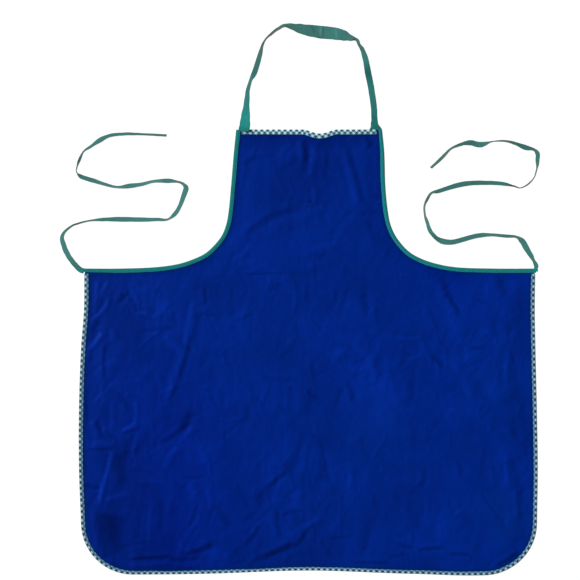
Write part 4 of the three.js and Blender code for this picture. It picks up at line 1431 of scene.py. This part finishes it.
def crumple_group():
    """Soft small dents of handled cloth: a height in metres and an even mask of slow patches."""
    group, nodes, given, result = node_group(
        "Crumple",
        [("Place", "Vector", None), ("Depth", "Float", 0.2 * MM)],
        [("Height", "Float"), ("Patches", "Float")],
    )
    place = given["Place"]
    shifted = nodes.vector("ADD", place, (0.13, 0.41, 0.2))
    sway = nodes.add("ShaderNodeTexNoise", {"Vector": place, "Scale": 24.0}).outputs["Color"]
    bent = nodes.vector("ADD", place, nodes.vector("SCALE", sway, 0.03))
    bent = nodes.vector("MULTIPLY", bent, (1.0, 0.6, 1.0))
    height = nodes.times(nodes.noise(shifted, 190.0, 2.0, 0.5), 0.6)
    for scale, share in ((27.0, -7.0), (66.0, -2.6)):
        ridge = nodes.maths("ABSOLUTE", nodes.maths("SUBTRACT", nodes.noise(bent, scale, 1.5, 0.5), 0.5))
        height = nodes.plus(height, nodes.times(ridge, share))
    nodes.put(result.inputs["Height"], nodes.times(height, given["Depth"]))
    nodes.put(result.inputs["Patches"], nodes.noise(shifted, 9.0, 3.0, 0.6))
    return group


def lint_group():
    """A mask of sparse pale specks and short hairs."""
    group, nodes, given, result = node_group(
        "Lint",
        [("Place", "Vector", None), ("Spacing", "Float", 9 * MM)],
        [("Mask", "Float")],
    )
    scale = nodes.maths("DIVIDE", 1.0, given["Spacing"])
    masks = []
    for stretch, size, kept in (((1.0, 1.0, 0.0), 0.04, 0.012), ((1.0, 0.22, 0.0), 0.03, 0.006)):
        place = nodes.vector("MULTIPLY", given["Place"], stretch)
        cells = nodes.add(
            "ShaderNodeTexVoronoi",
            {"Vector": place, "Scale": scale, "Randomness": 1.0},
            voronoi_dimensions="2D",
        )
        parts = nodes.add("ShaderNodeSeparateColor", {"Color": cells.outputs["Color"]}).outputs
        near = nodes.ramp(cells.outputs["Distance"], size, 0.0)
        masks.append(nodes.times(near, nodes.maths("LESS_THAN", parts[0], kept)))
    nodes.put(result.inputs["Mask"], nodes.maths("MAXIMUM", *masks))
    return group


def checks_group():
    """Two crossed sets of stripes at 45 degrees to the tape. Count is 0, 1 or 2 coloured stripes."""
    group, nodes, given, result = node_group(
        "Checks",
        [("Place", "Vector", None), ("Size", "Float", 3.6 * MM)],
        [("Count", "Float")],
    )
    place = given["Place"]
    wander = nodes.add("ShaderNodeTexNoise", {"Vector": place, "Scale": 120.0, "Detail": 1.0})
    wander = nodes.vector("SUBTRACT", wander.outputs["Color"], (0.5, 0.5, 0.5))
    wander = nodes.vector("SCALE", wander, 1.2 * MM)
    parts = nodes.add("ShaderNodeSeparateXYZ", {"Vector": nodes.vector("ADD", place, wander)}).outputs
    period = nodes.times(given["Size"], 2 * math.sqrt(2))
    stripes = []
    for operation in ("ADD", "SUBTRACT"):
        across = nodes.maths("DIVIDE", nodes.maths(operation, parts[0], parts[1]), period)
        wave = nodes.maths("COSINE", nodes.times(across, 2 * math.pi))
        stripes.append(nodes.ramp(wave, -0.16, 0.16))
    nodes.put(result.inputs["Count"], nodes.plus(*stripes))
    return group


def wear_group():
    """A mask of worn, paler patches drawn out along a tape."""
    group, nodes, given, result = node_group(
        "Wear", [("Place", "Vector", None)], [("Mask", "Float"), ("Fine", "Float")]
    )
    drawn = nodes.vector("MULTIPLY", given["Place"], (0.35, 1.0, 1.0))
    nodes.put(result.inputs["Mask"], nodes.ramp(nodes.noise(drawn, 130.0, 3.0, 0.6), 0.4, 0.72))
    nodes.put(result.inputs["Fine"], nodes.noise(given["Place"], 1100.0, 2.0, 0.6))
    return group


class Looks:
    """The materials of the apron, made once and shared by its pieces."""

    def __init__(self):
        self.weave = weave_group()
        self.crumple = crumple_group()
        self.lint = lint_group()
        self.checks = checks_group()
        self.wear = wear_group()

    def material(self, name):
        material = bpy.data.materials.new(name)
        material.use_nodes = True
        material.node_tree.nodes.clear()
        return Nodes(material.node_tree)

    def cloth(self):
        cloth = cloth_settings()
        nodes = self.material("cotton_blue")
        place = nodes.add("ShaderNodeTexCoord").outputs["Object"]
        weave = use_group(nodes, self.weave, Place=place, Thread=0.55 * MM)
        crumple = use_group(nodes, self.crumple, Place=place, Depth=0.28 * MM)
        lint = use_group(nodes, self.lint, Place=place)["Mask"]
        patches = nodes.ramp(crumple["Patches"], 0.25, 0.75, 0.84, 1.14)
        # Painted light and shade of the creases and wide patches, from the nap_tone attribute
        shade = nodes.toned(nodes.scaled(patches, weave["Lightness"], 0.22))
        green = nodes.plus(1.0, nodes.attribute("greener"))
        greener = nodes.add("ShaderNodeCombineXYZ", {"X": 1.0, "Y": green, "Z": 1.0}).outputs[0]
        base = nodes.vector("SCALE", nodes.vector("MULTIPLY", tuple(cloth.colour), greener), shade)
        # Painted shade beside the edge tapes: the cloth is darker, its green kept, within 5 mm of its
        # edge, fading out by 16 mm
        beside_seam = nodes.ramp(nodes.attribute("edge_inset"), 5 * MM, 16 * MM)
        base = nodes.mix(1.0, base, nodes.mix(beside_seam, cloth.seam_shade, (1.0, 1.0, 1.0)), "MULTIPLY")
        base = nodes.mix(nodes.times(lint, 0.8), base, cloth.lint_colour)
        height = nodes.scaled(crumple["Height"], weave["Height"], 0.02 * MM)
        more = {"Normal": nodes.bumped(height), "Specular Tint": (0.0, 0.1, 0.8)}
        nodes.shader(base, 0.5, 0.3, more)

    def levelled(self, nodes, normal, share):
        """A normal turned part of the way upwards, or downwards on an underside, as a thin cloth that
        lets light through looks less shaded than its slopes."""
        turned = nodes.vector("SCALE", normal, 1 - share)
        rise = nodes.add("ShaderNodeSeparateXYZ", {"Vector": normal}).outputs["Z"]
        level = nodes.times(nodes.maths("SIGN", rise), share)
        level = nodes.add("ShaderNodeCombineXYZ", {"Z": level}).outputs[0]
        return nodes.vector("NORMALIZE", nodes.vector("ADD", turned, level))

    def green(self, name, outer_colour, inner_colour, worn_share, level):
        """Green tape. The edge_share attribute runs from 0 at the tape's outer edge to 1 at its inner
        edge, fade is how much it shows its worn, greyish edge, and nap_tone how much lighter or darker it
        is painted: painted light and shade."""
        nodes = self.material(name)
        place = nodes.attribute("tape_place", "Vector")
        weave = use_group(nodes, self.weave, Place=place, Thread=0.5 * MM, Turn=math.pi / 4)
        wear = use_group(nodes, self.wear, Place=place)
        base = nodes.mix(nodes.ramp(nodes.attribute("edge_share"), 0.3, 0.75), outer_colour, inner_colour)
        worn = nodes.scaled(nodes.attribute("fade"), wear["Mask"], worn_share)
        base = nodes.mix(nodes.maths("MINIMUM", worn, 1.0), base, tape_settings().faded_green)
        fine = nodes.maths("SUBTRACT", wear["Fine"], 0.5)
        shade = nodes.scaled(nodes.scaled(1.0, weave["Lightness"], 0.3), fine, 0.5)
        base = nodes.vector("SCALE", base, nodes.toned(shade))
        height = nodes.times(nodes.plus(weave["Height"], wear["Fine"]), 0.03 * MM)
        normal = self.levelled(nodes, nodes.bumped(height), level)
        nodes.shader(base, 0.85, 0.08, {"Normal": normal})

    def checked(self):
        tape = tape_settings()
        nodes = self.material("cotton_checked")
        place = nodes.attribute("tape_place", "Vector")
        weave = use_group(nodes, self.weave, Place=place, Thread=0.4 * MM, Turn=math.pi / 4)
        count = use_group(nodes, self.checks, Place=place, Size=tape.check_size)["Count"]
        wear = use_group(nodes, self.wear, Place=place)
        base = nodes.mix(nodes.ramp(count, 0.1, 0.9), tape.check_light, tape.check_middle)
        softened = nodes.ramp(nodes.attribute("fade"), 0.3, 1.0, 1.0, 0.35)
        dark = nodes.times(nodes.ramp(count, 1.1, 1.9), softened)
        base = nodes.mix(dark, base, tape.check_dark)
        tint = nodes.mix(nodes.attribute("fade"), (1.0, 1.0, 1.0), tape.check_tint)
        base = nodes.mix(1.0, base, tint, "MULTIPLY")
        shade = nodes.scaled(nodes.scaled(1.0, weave["Lightness"], 0.35), wear["Mask"], -0.12)
        # Lighter or darker by the painted light and shade of the nap_tone attribute
        base = nodes.vector("SCALE", base, nodes.toned(shade))
        height = nodes.times(weave["Height"], 0.03 * MM)
        nodes.shader(base, 0.85, 0.2, {"Normal": nodes.bumped(height)})

    def plain(self, name, colour):
        self.material(name).shader(colour, 0.7, 0.2)

    def floor(self):
        glow = {"Emission Color": (1.0, 1.0, 1.0), "Emission Strength": stage_settings().floor_glow}
        self.material("floor_white").shader((0.06, 0.06, 0.06), 0.9, 0.1, glow)


# Tapes


class Leaf(NamedTuple):
    """How much of an edge tape shows at a share of its length, and how far its first row of checks
    lies from its outer edge. blue is how much its inner edge is coloured by the cloth behind, and
    tone how much lighter it is painted, as painted light and shade."""

    along: float
    shown: float
    row: float
    blue: float
    tone: float


# Down the left side, along the hem and up the right side
HEM_LEAVES = [
    Leaf(0.0, 7.4 * MM, 2.2 * MM, 1.0, 0.1),
    Leaf(0.1, 7.6 * MM, 2.1 * MM, 1.0, 0.0),
    Leaf(0.3, 6.8 * MM, 2.1 * MM, 1.0, 0.0),
    Leaf(0.36, 5.6 * MM, 1.8 * MM, 1.0, 0.2),
    Leaf(0.41, 5.9 * MM, 1.3 * MM, 0.9, 0.2),
    Leaf(0.45, 4.9 * MM, 1.4 * MM, 0.9, 0.2),
    Leaf(0.5, 6.0 * MM, 2.0 * MM, 0.9, 0.2),
    Leaf(0.6, 6.2 * MM, 2.3 * MM, 1.0, 0.05),
    Leaf(0.68, 6.8 * MM, 2.6 * MM, 1.0, 0.0),
    Leaf(0.75, 6.9 * MM, 2.8 * MM, 1.0, 0.0),
    Leaf(1.0, 7.0 * MM, 2.8 * MM, 1.0, 0.0),
]
BIB_TOP_LEAVES = [
    Leaf(0.0, 8.4 * MM, 1.2 * MM, 0.6, 0.3),
    Leaf(0.08, 8.5 * MM, 1.2 * MM, 0.5, 0.5),
    Leaf(0.5, 8.6 * MM, 1.2 * MM, 0.4, 0.7),
    Leaf(0.9, 8.4 * MM, 1.2 * MM, 0.4, 0.8),
    Leaf(1.0, 8.4 * MM, 1.2 * MM, 0.9, 0.1),
]
BINDING_LEAVES = [
    Leaf(0.0, 7.6 * MM, 4.4 * MM, 0.0, 0.0),
    Leaf(0.5, 7.2 * MM, 4.3 * MM, 0.0, 0.0),
    Leaf(0.85, 7.6 * MM, 4.6 * MM, 0.0, 0.0),
    Leaf(1.0, 6.0 * MM, 4.6 * MM, 0.0, -0.1),
]

# Space between the cloth and the tape on both sides, and how far the stitches lie over the tape
FOLD_SPACE = 0.08 * MM
STITCH_LIFT = 0.05 * MM
# Slow waves of an edge tape's width and fine ruffles of its face, each with the length of one wave
WIDTH_WAVE = 0.35 * MM
WIDTH_WAVE_LENGTH = 30 * MM
RUFFLE = 0.10 * MM
RUFFLE_LENGTH = 7 * MM
# How much the upper leaf bulges, and how deep the stitches pull it in
LEAF_CROWN = 0.28 * MM
STITCH_PINCH = 0.12 * MM
# Half the height of a loose tape's fold, and how far the leaf underneath lies below the upper one
LOOSE_FOLD = 0.38 * MM
LEAF_DROP = 0.62
# Shares of the way from the lower leaf's inner edge round the fold to the upper leaf's inner edge
LOWER_SHARES = (1.0, 0.7, 0.35)
FOLD_TURNS = (-90, -55, -20, 20, 55, 90)
UPPER_SHARES = (0.1, 0.22, 0.36, 0.5, 0.62, 0.72, 0.8, 0.86, 0.93, 1.0)


def between(rows, key, share):
    return np.interp(share, [row.along for row in rows], [getattr(row, key) for row in rows])


def edge_tape(name, line, leaves, material, shift=0.0):
    """A tape folded over the cloth's edge along a line of the outline. Every point of it lies as high
    as the cloth does there. Gives the piece and the line of its stitches."""
    cloth, tape = cloth_settings(), tape_settings()
    fold = (cloth.thickness + 2 * FOLD_SPACE + tape.leaf) / 2
    along = lengths_along(line)
    share = along / along[-1]
    normals = left_normals(line)
    slow = WIDTH_WAVE * noise_along(along, WIDTH_WAVE_LENGTH, 5.0 + shift)
    shown = between(leaves, "shown", share) + slow
    stitch = (shown - tape.stitch_inset) / shown

    # Each station's way across, rise, and outward direction in these two
    level = np.zeros(len(line))
    stations = [(fold + part * (shown - fold), level - fold, 0.0, -1.0) for part in LOWER_SHARES]
    for turn in map(math.radians, FOLD_TURNS):
        cosine, sine = math.cos(turn), math.sin(turn)
        stations.append((level + fold - fold * cosine, level + fold * sine, -cosine, sine))
    for part in UPPER_SHARES:
        crown = LEAF_CROWN * math.sin(math.pi * min(part / 0.85, 1.0))
        pinch = STITCH_PINCH * np.exp(-(((part - stitch) / 0.06) ** 2))
        stations.append((fold + part * (shown - fold), fold + crown - pinch, 0.0, 1.0))
    across, rise, out_across, out_rise = (np.array(column) for column in zip(*stations))
    out_across, out_rise = out_across[:, None], out_rise[:, None]
    skin_across = both_skins(across, out_across, tape.leaf)
    skin_rise = both_skins(rise, out_rise, tape.leaf)
    size = len(skin_across)
    places = line[None] + normals[None] * skin_across[..., None]
    flat = places.reshape(-1, 2)
    inset = skin_across.ravel()
    height = cloth_height(flat, inset).reshape(size, -1) + cloth.thickness / 2 + skin_rise
    ruffle = RUFFLE * noise_along(along, RUFFLE_LENGTH, 9.0 + shift)
    height += ruffle[None] * smoothstep(skin_across, 0.5 * MM, 4 * MM)
    vertices = np.concatenate([places, height[..., None]], axis=2).transpose(1, 0, 2).reshape(-1, 3)
    row = between(leaves, "row", share)
    path_across = skin_across - row[None]
    marks = np.stack(
        [np.broadcast_to(along[None], path_across.shape), path_across, 0 * path_across], axis=2
    ).transpose(1, 0, 2).reshape(-1, 3)
    edge_share = (skin_across / shown[None]).T.ravel()
    piece = new_piece(
        name,
        vertices,
        strip_faces(len(line), size),
        material,
        marks,
        edge_share=edge_share,
        fade=np.repeat(between(leaves, "blue", share), size) * smoothstep(edge_share, 0.25, 0.95),
        nap_tone=np.repeat(between(leaves, "tone", share), size),
    )
    seam_across = shown - tape.stitch_inset
    seam = line + normals * seam_across[:, None]
    seam_height = cloth_height(seam, seam_across) + cloth.thickness / 2 + fold + tape.leaf / 2
    seam_height += STITCH_LIFT
    return piece, np.column_stack([seam, seam_height]), np.tile((0.0, 0.0, 1.0), (len(line), 1))


class Strip(NamedTuple):
    """The stations of a loose tape: its line, its turn about itself, its width before any lean, how
    grey it is and how much lighter or darker it is painted, as painted light and shade."""

    line: np.ndarray
    roll: np.ndarray
    shown: np.ndarray
    fade: np.ndarray
    tone: np.ndarray


def both_skins(middle, outward, leaf):
    """A leaf's outer skin and then its inner skin backwards, on both sides of its middle."""
    return np.concatenate([middle + leaf / 2 * outward, (middle - leaf / 2 * outward)[::-1]])


def strip_section(shown, total, leaf):
    """Centre line of a tape with one part folded under: across, rise and the two outward parts."""
    flat = np.linspace(0, max(shown - 1.2 * MM, 0.2 * shown), 9)
    round_fold = shown + np.array([-0.7, -0.35, -0.1, 0.1, 0.35, 0.7]) * MM
    under = np.linspace(min(shown + 1.2 * MM, total), total, 5)
    place = np.minimum(np.concatenate([flat, round_fold, under]), total)
    place = np.maximum.accumulate(place + np.arange(len(place)) * 1e-6)
    past = place - shown
    bend = np.sqrt(past**2 + LOOSE_FOLD**2)
    across = shown / 2 - bend + LOOSE_FOLD
    rise = -leaf * LEAF_DROP * np.tanh(past / LOOSE_FOLD)
    lean_across = -past / bend
    lean_rise = -leaf * LEAF_DROP / LOOSE_FOLD / np.cosh(past / LOOSE_FOLD) ** 2
    length = np.hypot(lean_across, lean_rise)
    return place, across, rise, -lean_rise / length, lean_across / length


def loose_tape(name, strip, total, dents=()):
    """A green tape that lies loose on the floor. Gives the piece, the centres of its rings, and the
    line and the upward side of its stitches."""
    leaf = tape_settings().leaf
    along = lengths_along(strip.line)
    normals = left_normals(strip.line, passes=10)
    vertices, marks, edge_share, seam, seam_up = [], [], [], [], []
    for i in range(len(along)):
        shown = strip.shown[i]
        reach = min(total, FOLDED_REACH * shown)
        place, across, rise, out_across, out_rise = strip_section(shown, reach, leaf)
        rise = rise + CROWN * (1 - np.clip(2 * across / shown, -1, 1) ** 2)
        skin_across = both_skins(across, out_across, leaf)
        skin_rise = both_skins(rise, out_rise, leaf)
        cosine, sine = math.cos(strip.roll[i]), math.sin(strip.roll[i])
        aside = skin_across * cosine - skin_rise * sine
        up = skin_across * sine + skin_rise * cosine
        middle = (aside.min() + aside.max()) / 2
        aside -= middle
        lowest = up.min()
        up += FLOOR_GAP - lowest
        ring = np.column_stack([strip.line[i] + normals[i] * aside[:, None], up])
        vertices.append(ring)
        both = np.concatenate([place, place[::-1]])
        marks.append(np.column_stack([np.full(len(both), along[i]), both, 0 * both]))
        edge_share.append(np.clip(both / reach, 0, 1))
        seam_across, seam_over = -shown / 2 + SEAM_INSET, leaf * 1.15 + CROWN * 0.3
        seam_aside = seam_across * cosine - seam_over * sine - middle
        seam_rise = seam_across * sine + seam_over * cosine + FLOOR_GAP - lowest
        seam.append(np.append(strip.line[i] + normals[i] * seam_aside, seam_rise))
        seam_up.append(np.append(normals[i] * -sine, cosine))
    size = len(vertices[0])
    vertices = np.vstack(vertices)
    seam = np.array(seam)
    tone = np.repeat(strip.tone, size)
    for line, spread, rise in dents:
        for points in (vertices, seam):
            height = np.zeros(len(points))
            add_ridge(height, points[:, :2], line, spread, rise)
            points[:, 2] += height
        # Painted shade along the strap's dents and painted light along its ridges
        add_ridge(tone, vertices[:, :2], line, 0.7 * spread, DENT_TONE * rise)
    piece = new_piece(
        name,
        vertices,
        strip_faces(len(along), size),
        looks()["cotton_green"],
        np.vstack(marks),
        edge_share=np.concatenate(edge_share),
        fade=np.repeat(strip.fade, size),
        nap_tone=tone,
    )
    centres = vertices.reshape(len(along), size, 3).mean(axis=1)
    return piece, centres, seam, np.array(seam_up)


def wavering(line, layer):
    """The line with a slight sway that fades out at both ends."""
    along = lengths_along(line)
    sway = SWAY * noise_along(along, SWAY_LENGTH, layer)
    ends = smoothstep(np.minimum(along, along[-1] - along), 0, 15 * MM)
    return line + left_normals(line, passes=6) * (sway * ends)[:, None]


def leaning(line, seen, width):
    """How far a tape leans, and how wide it is before the lean, for a width to be seen from above. It
    leans with its face to the light, and where it runs along the light it is gathered instead."""
    seen = seen + GLARE
    light = stage_settings().key_azimuth
    facing = -left_normals(line, passes=12) @ (math.cos(light), math.sin(light))
    lean = np.arccos(np.clip((seen - TAPE_EDGE) / width, LEAST_SEEN, 1)) * np.tanh(2.5 * facing)
    lean = smoothed(lean, 6)
    return lean, np.minimum((seen - TAPE_EDGE * np.abs(np.sin(lean))) / np.cos(lean), width)


def shifted(line, aside):
    return line + left_normals(line, passes=10) * aside[:, None]


def tie_strip(side, rows):
    """The stations of a waist tie from the waist corner to just past the last place of its route."""
    root = np.array([side_x(side, SIDES[0]) + side * CLEARANCE, WAIST_Y - TAPE_WIDTH / 2])
    knots = [root + (side * row.out, row.up) for row in rows]
    last = knots[-1] - knots[-2]
    knots[-1] = knots[-1] + last / np.linalg.norm(last) * TIE_OVERHANG
    curve, curve_rows = smooth_curve(knots)
    line, along, places = evenly(curve, LOOSE_STEP, curve_rows)
    uneven = UNEVEN_SHARE * noise_along(along, UNEVEN_LENGTH, 2.0 + side)
    seen = eased([row.seen for row in rows], places) * (1 + uneven)
    line = shifted(line, eased([row.aside for row in rows], places))
    roll, width = leaning(line, seen, np.maximum(TAPE_WIDTH, seen + GLARE))
    fade = WIDE_FADE + THIN_FADE * (1 - smoothstep(seen, SEEN_THIN, SEEN_WIDE))
    fade *= smoothstep(along, 0, CLEAN_START)
    return Strip(wavering(line, 8.0 + side), roll, width, fade, eased([row.tone for row in rows], places))


def strap_place(across, up):
    return np.array([BIB_SHIFT + across * BIB_WIDTH / 2, BIB_TOP_Y + up * STRAP_REACH])


def strap_strip():
    """The stations of the neck strap from the bib's left corner to its right corner."""
    knots = [strap_place(row.across, row.up) for row in STRAP]
    curve, rows = smooth_curve([knots[0] - (0, STRAP_TUCK), *knots, knots[-1] - (0, STRAP_TUCK)])
    rows = np.clip(rows - 1, 0, len(STRAP) - 1)
    line, _, places = evenly(curve, LOOSE_STEP, rows)
    width = tape_settings().opened_width
    shown = np.minimum(eased([row.shown for row in STRAP], places) * width + GLARE, width)
    seen = eased([row.seen for row in STRAP], places) * width
    line = shifted(line, eased([row.aside for row in STRAP], places))
    roll, shown = leaning(line, np.minimum(seen, shown), shown)
    fade = eased([row.fade for row in STRAP], places)
    tone = eased([row.tone for row in STRAP], places)
    return Strip(wavering(line, 4.0), roll, shown, fade, tone)


# Operators, one for each piece or group of like pieces


def looks():
    """The shared materials, made at first use and found again by name."""
    made = bpy.data.materials.get("thread_green")
    if made is None:
        tape = tape_settings()
        kit = Looks()
        kit.cloth()
        kit.green("cotton_green", tape.green, tape.green, 0.15, 0.8)
        kit.green("cotton_binding", tape.binding_green, tape.bluish_green, 0.05, 0.0)
        kit.checked()
        kit.plain("thread_pale", (0.30, 0.45, 0.50))
        kit.plain("thread_green", (0.035, 0.23, 0.21))
        kit.floor()
    return bpy.data.materials


class APRON_OT_camera(Operator):
    """Puts a camera straight over the apron, as in the photograph"""

    bl_idname = "apron.camera"
    bl_label = "Camera"

    def execute(self, context):
        data = bpy.data.cameras.new("camera")
        data.lens = LENS_MILLIMETRES
        data.sensor_width = SENSOR_MILLIMETRES
        camera = add_object("camera", data)
        camera.location = (CAMERA_X, CAMERA_Y, stage_settings().camera_height)
        bpy.context.scene.camera = camera
        return {"FINISHED"}


class APRON_OT_waist_ties(Operator):
    """Lays both waist ties on the floor, with their stitches"""

    bl_idname = "apron.waist_ties"
    bl_label = "Waist ties"

    def execute(self, context):
        materials = looks()
        for side, name, rows in ((-1, "waist_tie_left", LEFT_TIE), (1, "waist_tie_right", RIGHT_TIE)):
            strip = tie_strip(side, rows)
            piece, centres, seam, seam_up = loose_tape(name + "_tape", strip, TIE_OPENED)
            finish_piece(piece, "green_tape", name)
            stitches = stitch_piece(name + "_stitches", seam, seam_up, materials["thread_green"])
            finish_piece(stitches, "green_tape")
            path = [tuple(float(value) for value in centre) for centre in centres[::PATH_EVERY]]
            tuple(path[0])
            round(float(lengths_along(centres)[-1]), 3)
        return {"FINISHED"}


# The shortest edge of the cloth's outline
LEAST_EDGE = 0.4 * MM


def tree_of(points):
    """A search tree over flat points, to find the nearest ones."""
    tree = KDTree(len(points))
    for i, (x, y) in enumerate(points):
        tree.insert((x, y, 0), i)
    tree.balance()
    return tree


class APRON_OT_cloth(Operator):
    """Makes the blue panel with its creases"""

    bl_idname = "apron.cloth"
    bl_label = "Cloth"

    def execute(self, context):
        cloth = cloth_settings()
        rim = cloth_outline(CUT_INSET)
        rim = rim[np.linalg.norm(rim - np.roll(rim, 1, axis=0), axis=1) > LEAST_EDGE]
        tree = tree_of(rim)
        size = len(rim)
        edges = [(i, (i + 1) % size) for i in range(size)]
        skins = []
        for step in (cloth.mesh_step, cloth.under_step):
            points = np.vstack([rim, self.lattice(rim, step, tree)])
            _, _, faces, *_ = delaunay_2d_cdt([tuple(p) for p in points], edges, [], 1, 1e-7)
            skins.append((points, faces))
        (face, face_skin), (under, under_skin) = skins
        from_edge = np.array([CUT_INSET + tree.find((x, y, 0))[2] for x, y in face])
        height = cloth_height(face, from_edge)
        below = self.lowest_near(face, height, under, cloth.under_step) - 2 * FLOOR_GAP
        below[:size] = height[:size]
        count = len(face)
        upper = np.column_stack([face, height + cloth.thickness])
        lower = np.column_stack([under, np.maximum(below, FLOOR_GAP)])
        faces = list(face_skin)
        faces += [tuple(i + count for i in reversed(corners)) for corners in under_skin]
        faces += [(a + count, b + count, b, a) for a, b in edges]
        under_edge = [CUT_INSET + tree.find((x, y, 0))[2] for x, y in under]
        piece = new_piece(
            "apron_cloth",
            np.vstack([upper, lower]),
            faces,
            looks()["cotton_blue"],
            edge_inset=np.concatenate([from_edge, under_edge]),
            nap_tone=np.concatenate([cloth_painted_shading(face), np.zeros(len(under))]),
            greener=np.concatenate([wide_shades(face, "green"), np.zeros(len(under))]),
        )
        finish_piece(piece, "blue_cloth", "apron_panel")
        return {"FINISHED"}

    def lowest_near(self, points, height, places, reach):
        """The lowest height of any point near each place, so that the underside stays below the face."""
        tree = tree_of(points)
        near = (tree.find_range((x, y, 0), reach) for x, y in places)
        return np.array([min(height[i] for _, i, _ in found) for found in near])

    def lattice(self, rim, step, tree):
        """Points inside the outline, in rows with every other row moved half a step."""
        following = np.roll(rim, -1, axis=0)
        rows = np.arange(rim[:, 1].min() + step / 2, rim[:, 1].max(), step * math.sqrt(3) / 2)
        points = []
        for n, y in enumerate(rows):
            passing = (rim[:, 1] > y) != (following[:, 1] > y)
            a, b = rim[passing], following[passing]
            crossings = np.sort(a[:, 0] + (y - a[:, 1]) / (b[:, 1] - a[:, 1]) * (b[:, 0] - a[:, 0]))
            for start, end in zip(crossings[::2], crossings[1::2]):
                first = math.ceil(start / step - n % 2 / 2)
                last = math.floor(end / step - n % 2 / 2)
                points += [((k + n % 2 / 2) * step, y) for k in range(first, last + 1)]
        return np.array([p for p in points if tree.find((*p, 0))[2] > step * 0.5])


class APRON_OT_edge_tapes(Operator):
    """Folds the checked tape over the bib top and the skirt's edge, and the green tape over both
    armholes, and sews them on"""

    bl_idname = "apron.edge_tapes"
    bl_label = "Edge tapes"

    def execute(self, context):
        materials = looks()
        checked = ("cotton_checked", "thread_pale", "checked_tape")
        green = ("cotton_binding", "thread_green", "green_tape")
        rows = [
            ("hem_trim", hem_line(), HEM_LEAVES, checked),
            ("bib_top_trim", bib_top_line(), BIB_TOP_LEAVES, checked),
            ("armhole_binding_left", binding_line(-1), BINDING_LEAVES, green),
            ("armhole_binding_right", binding_line(1), BINDING_LEAVES, green),
        ]
        sewn = []
        for n, (name, line, leaves, (material, thread, slot)) in enumerate(rows):
            piece, seam, up = edge_tape(name + "_tape", line, leaves, materials[material], n * 20.0)
            finish_piece(piece, slot, name)
            stitches = stitch_piece(name + "_stitches", seam, up, materials[thread])
            finish_piece(stitches, slot)
            sewn += [piece, stitches]
        return {"FINISHED"}


class APRON_OT_neck_strap(Operator):
    """Lays the neck strap round from one bib corner to the other"""

    bl_idname = "apron.neck_strap"
    bl_label = "Neck strap"

    def execute(self, context):
        dents = [(crease_line(row, strap_place), row.spread, row.height) for row in STRAP_CREASES]
        opened = tape_settings().opened_width
        piece, centres, *_ = loose_tape("neck_strap_tape", strap_strip(), opened, dents)
        finish_piece(piece, "green_tape", "neck_strap")
        length = round(float(lengths_along(centres)[-1]), 3)
        return {"FINISHED"}


class APRON_OT_stage(Operator):
    """Sets the white floor, the main light from the upper left, and the even light from all round"""

    bl_idname = "apron.stage"
    bl_label = "Floor and light"

    def execute(self, context):
        stage = stage_settings()
        scene = context.scene
        mesh = bpy.data.meshes.new("floor")
        corners = [(x * FLOOR_HALF, y * FLOOR_HALF, 0) for x, y in ((-1, -1), (1, -1), (1, 1), (-1, 1))]
        mesh.from_pydata(corners, [], [(0, 1, 2, 3)])
        mesh.materials.append(looks()["floor_white"])
        floor = add_object("floor", mesh)
        floor.location.z = -FLOOR_GAP
        floor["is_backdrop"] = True

        data = bpy.data.lights.new("key_light", "SUN")
        data.angle = LIGHT_SPREAD
        data.energy = stage.key_power
        key = add_object("key_light", data)
        key.rotation_euler = (math.pi / 2 - stage.key_elevation, 0, stage.key_azimuth + math.pi / 2)

        world = bpy.data.worlds.new("even_light")
        world.use_nodes = True
        background = world.node_tree.nodes["Background"]
        background.inputs["Color"].default_value = (1, 1, 1, 1)
        background.inputs["Strength"].default_value = stage.sky_strength
        scene.world = world
        scene.view_settings.view_transform = "Standard"
        return {"FINISHED"}


OPERATORS = (
    APRON_OT_camera,
    APRON_OT_waist_ties,
    APRON_OT_cloth,
    APRON_OT_edge_tapes,
    APRON_OT_neck_strap,
    APRON_OT_stage,
)


class VIEW3D_PT_apron(Panel):
    """Lists the steps that make the apron, and their settings"""

    bl_idname = "VIEW3D_PT_apron"
    bl_label = "Bib apron"
    bl_space_type = "VIEW_3D"
    bl_region_type = "UI"
    bl_category = "Apron"

    def draw(self, context):
        layout = self.layout
        for operator in OPERATORS:
            layout.operator(operator.bl_idname)
        for name in SETTINGS:
            box = layout.box()
            settings = getattr(context.scene, name)
            for key in settings.bl_rna.properties.keys():
                if key not in ("rna_type", "name"):
                    box.prop(settings, key)


CLASSES = (*SETTINGS.values(), *OPERATORS, VIEW3D_PT_apron)


def register():
    for item in CLASSES:
        bpy.utils.register_class(item)
    for name, group in SETTINGS.items():
        setattr(bpy.types.Scene, name, PointerProperty(type=group))


def unregister():
    for name in SETTINGS:
        delattr(bpy.types.Scene, name)
    for item in reversed(CLASSES):
        bpy.utils.unregister_class(item)


def main():
    register()
    bpy.ops.apron.camera()
    bpy.ops.apron.waist_ties()
    bpy.ops.apron.cloth()
    bpy.ops.apron.edge_tapes()
    bpy.ops.apron.neck_strap()
    bpy.ops.apron.stage()
    boxes = {"cad": FRAME_BOUNDS, "visual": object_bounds()}
    plain = {key: [[float(value) for value in corner] for corner in box] for key, box in boxes.items()}


if __name__ == "__main__":
    main()
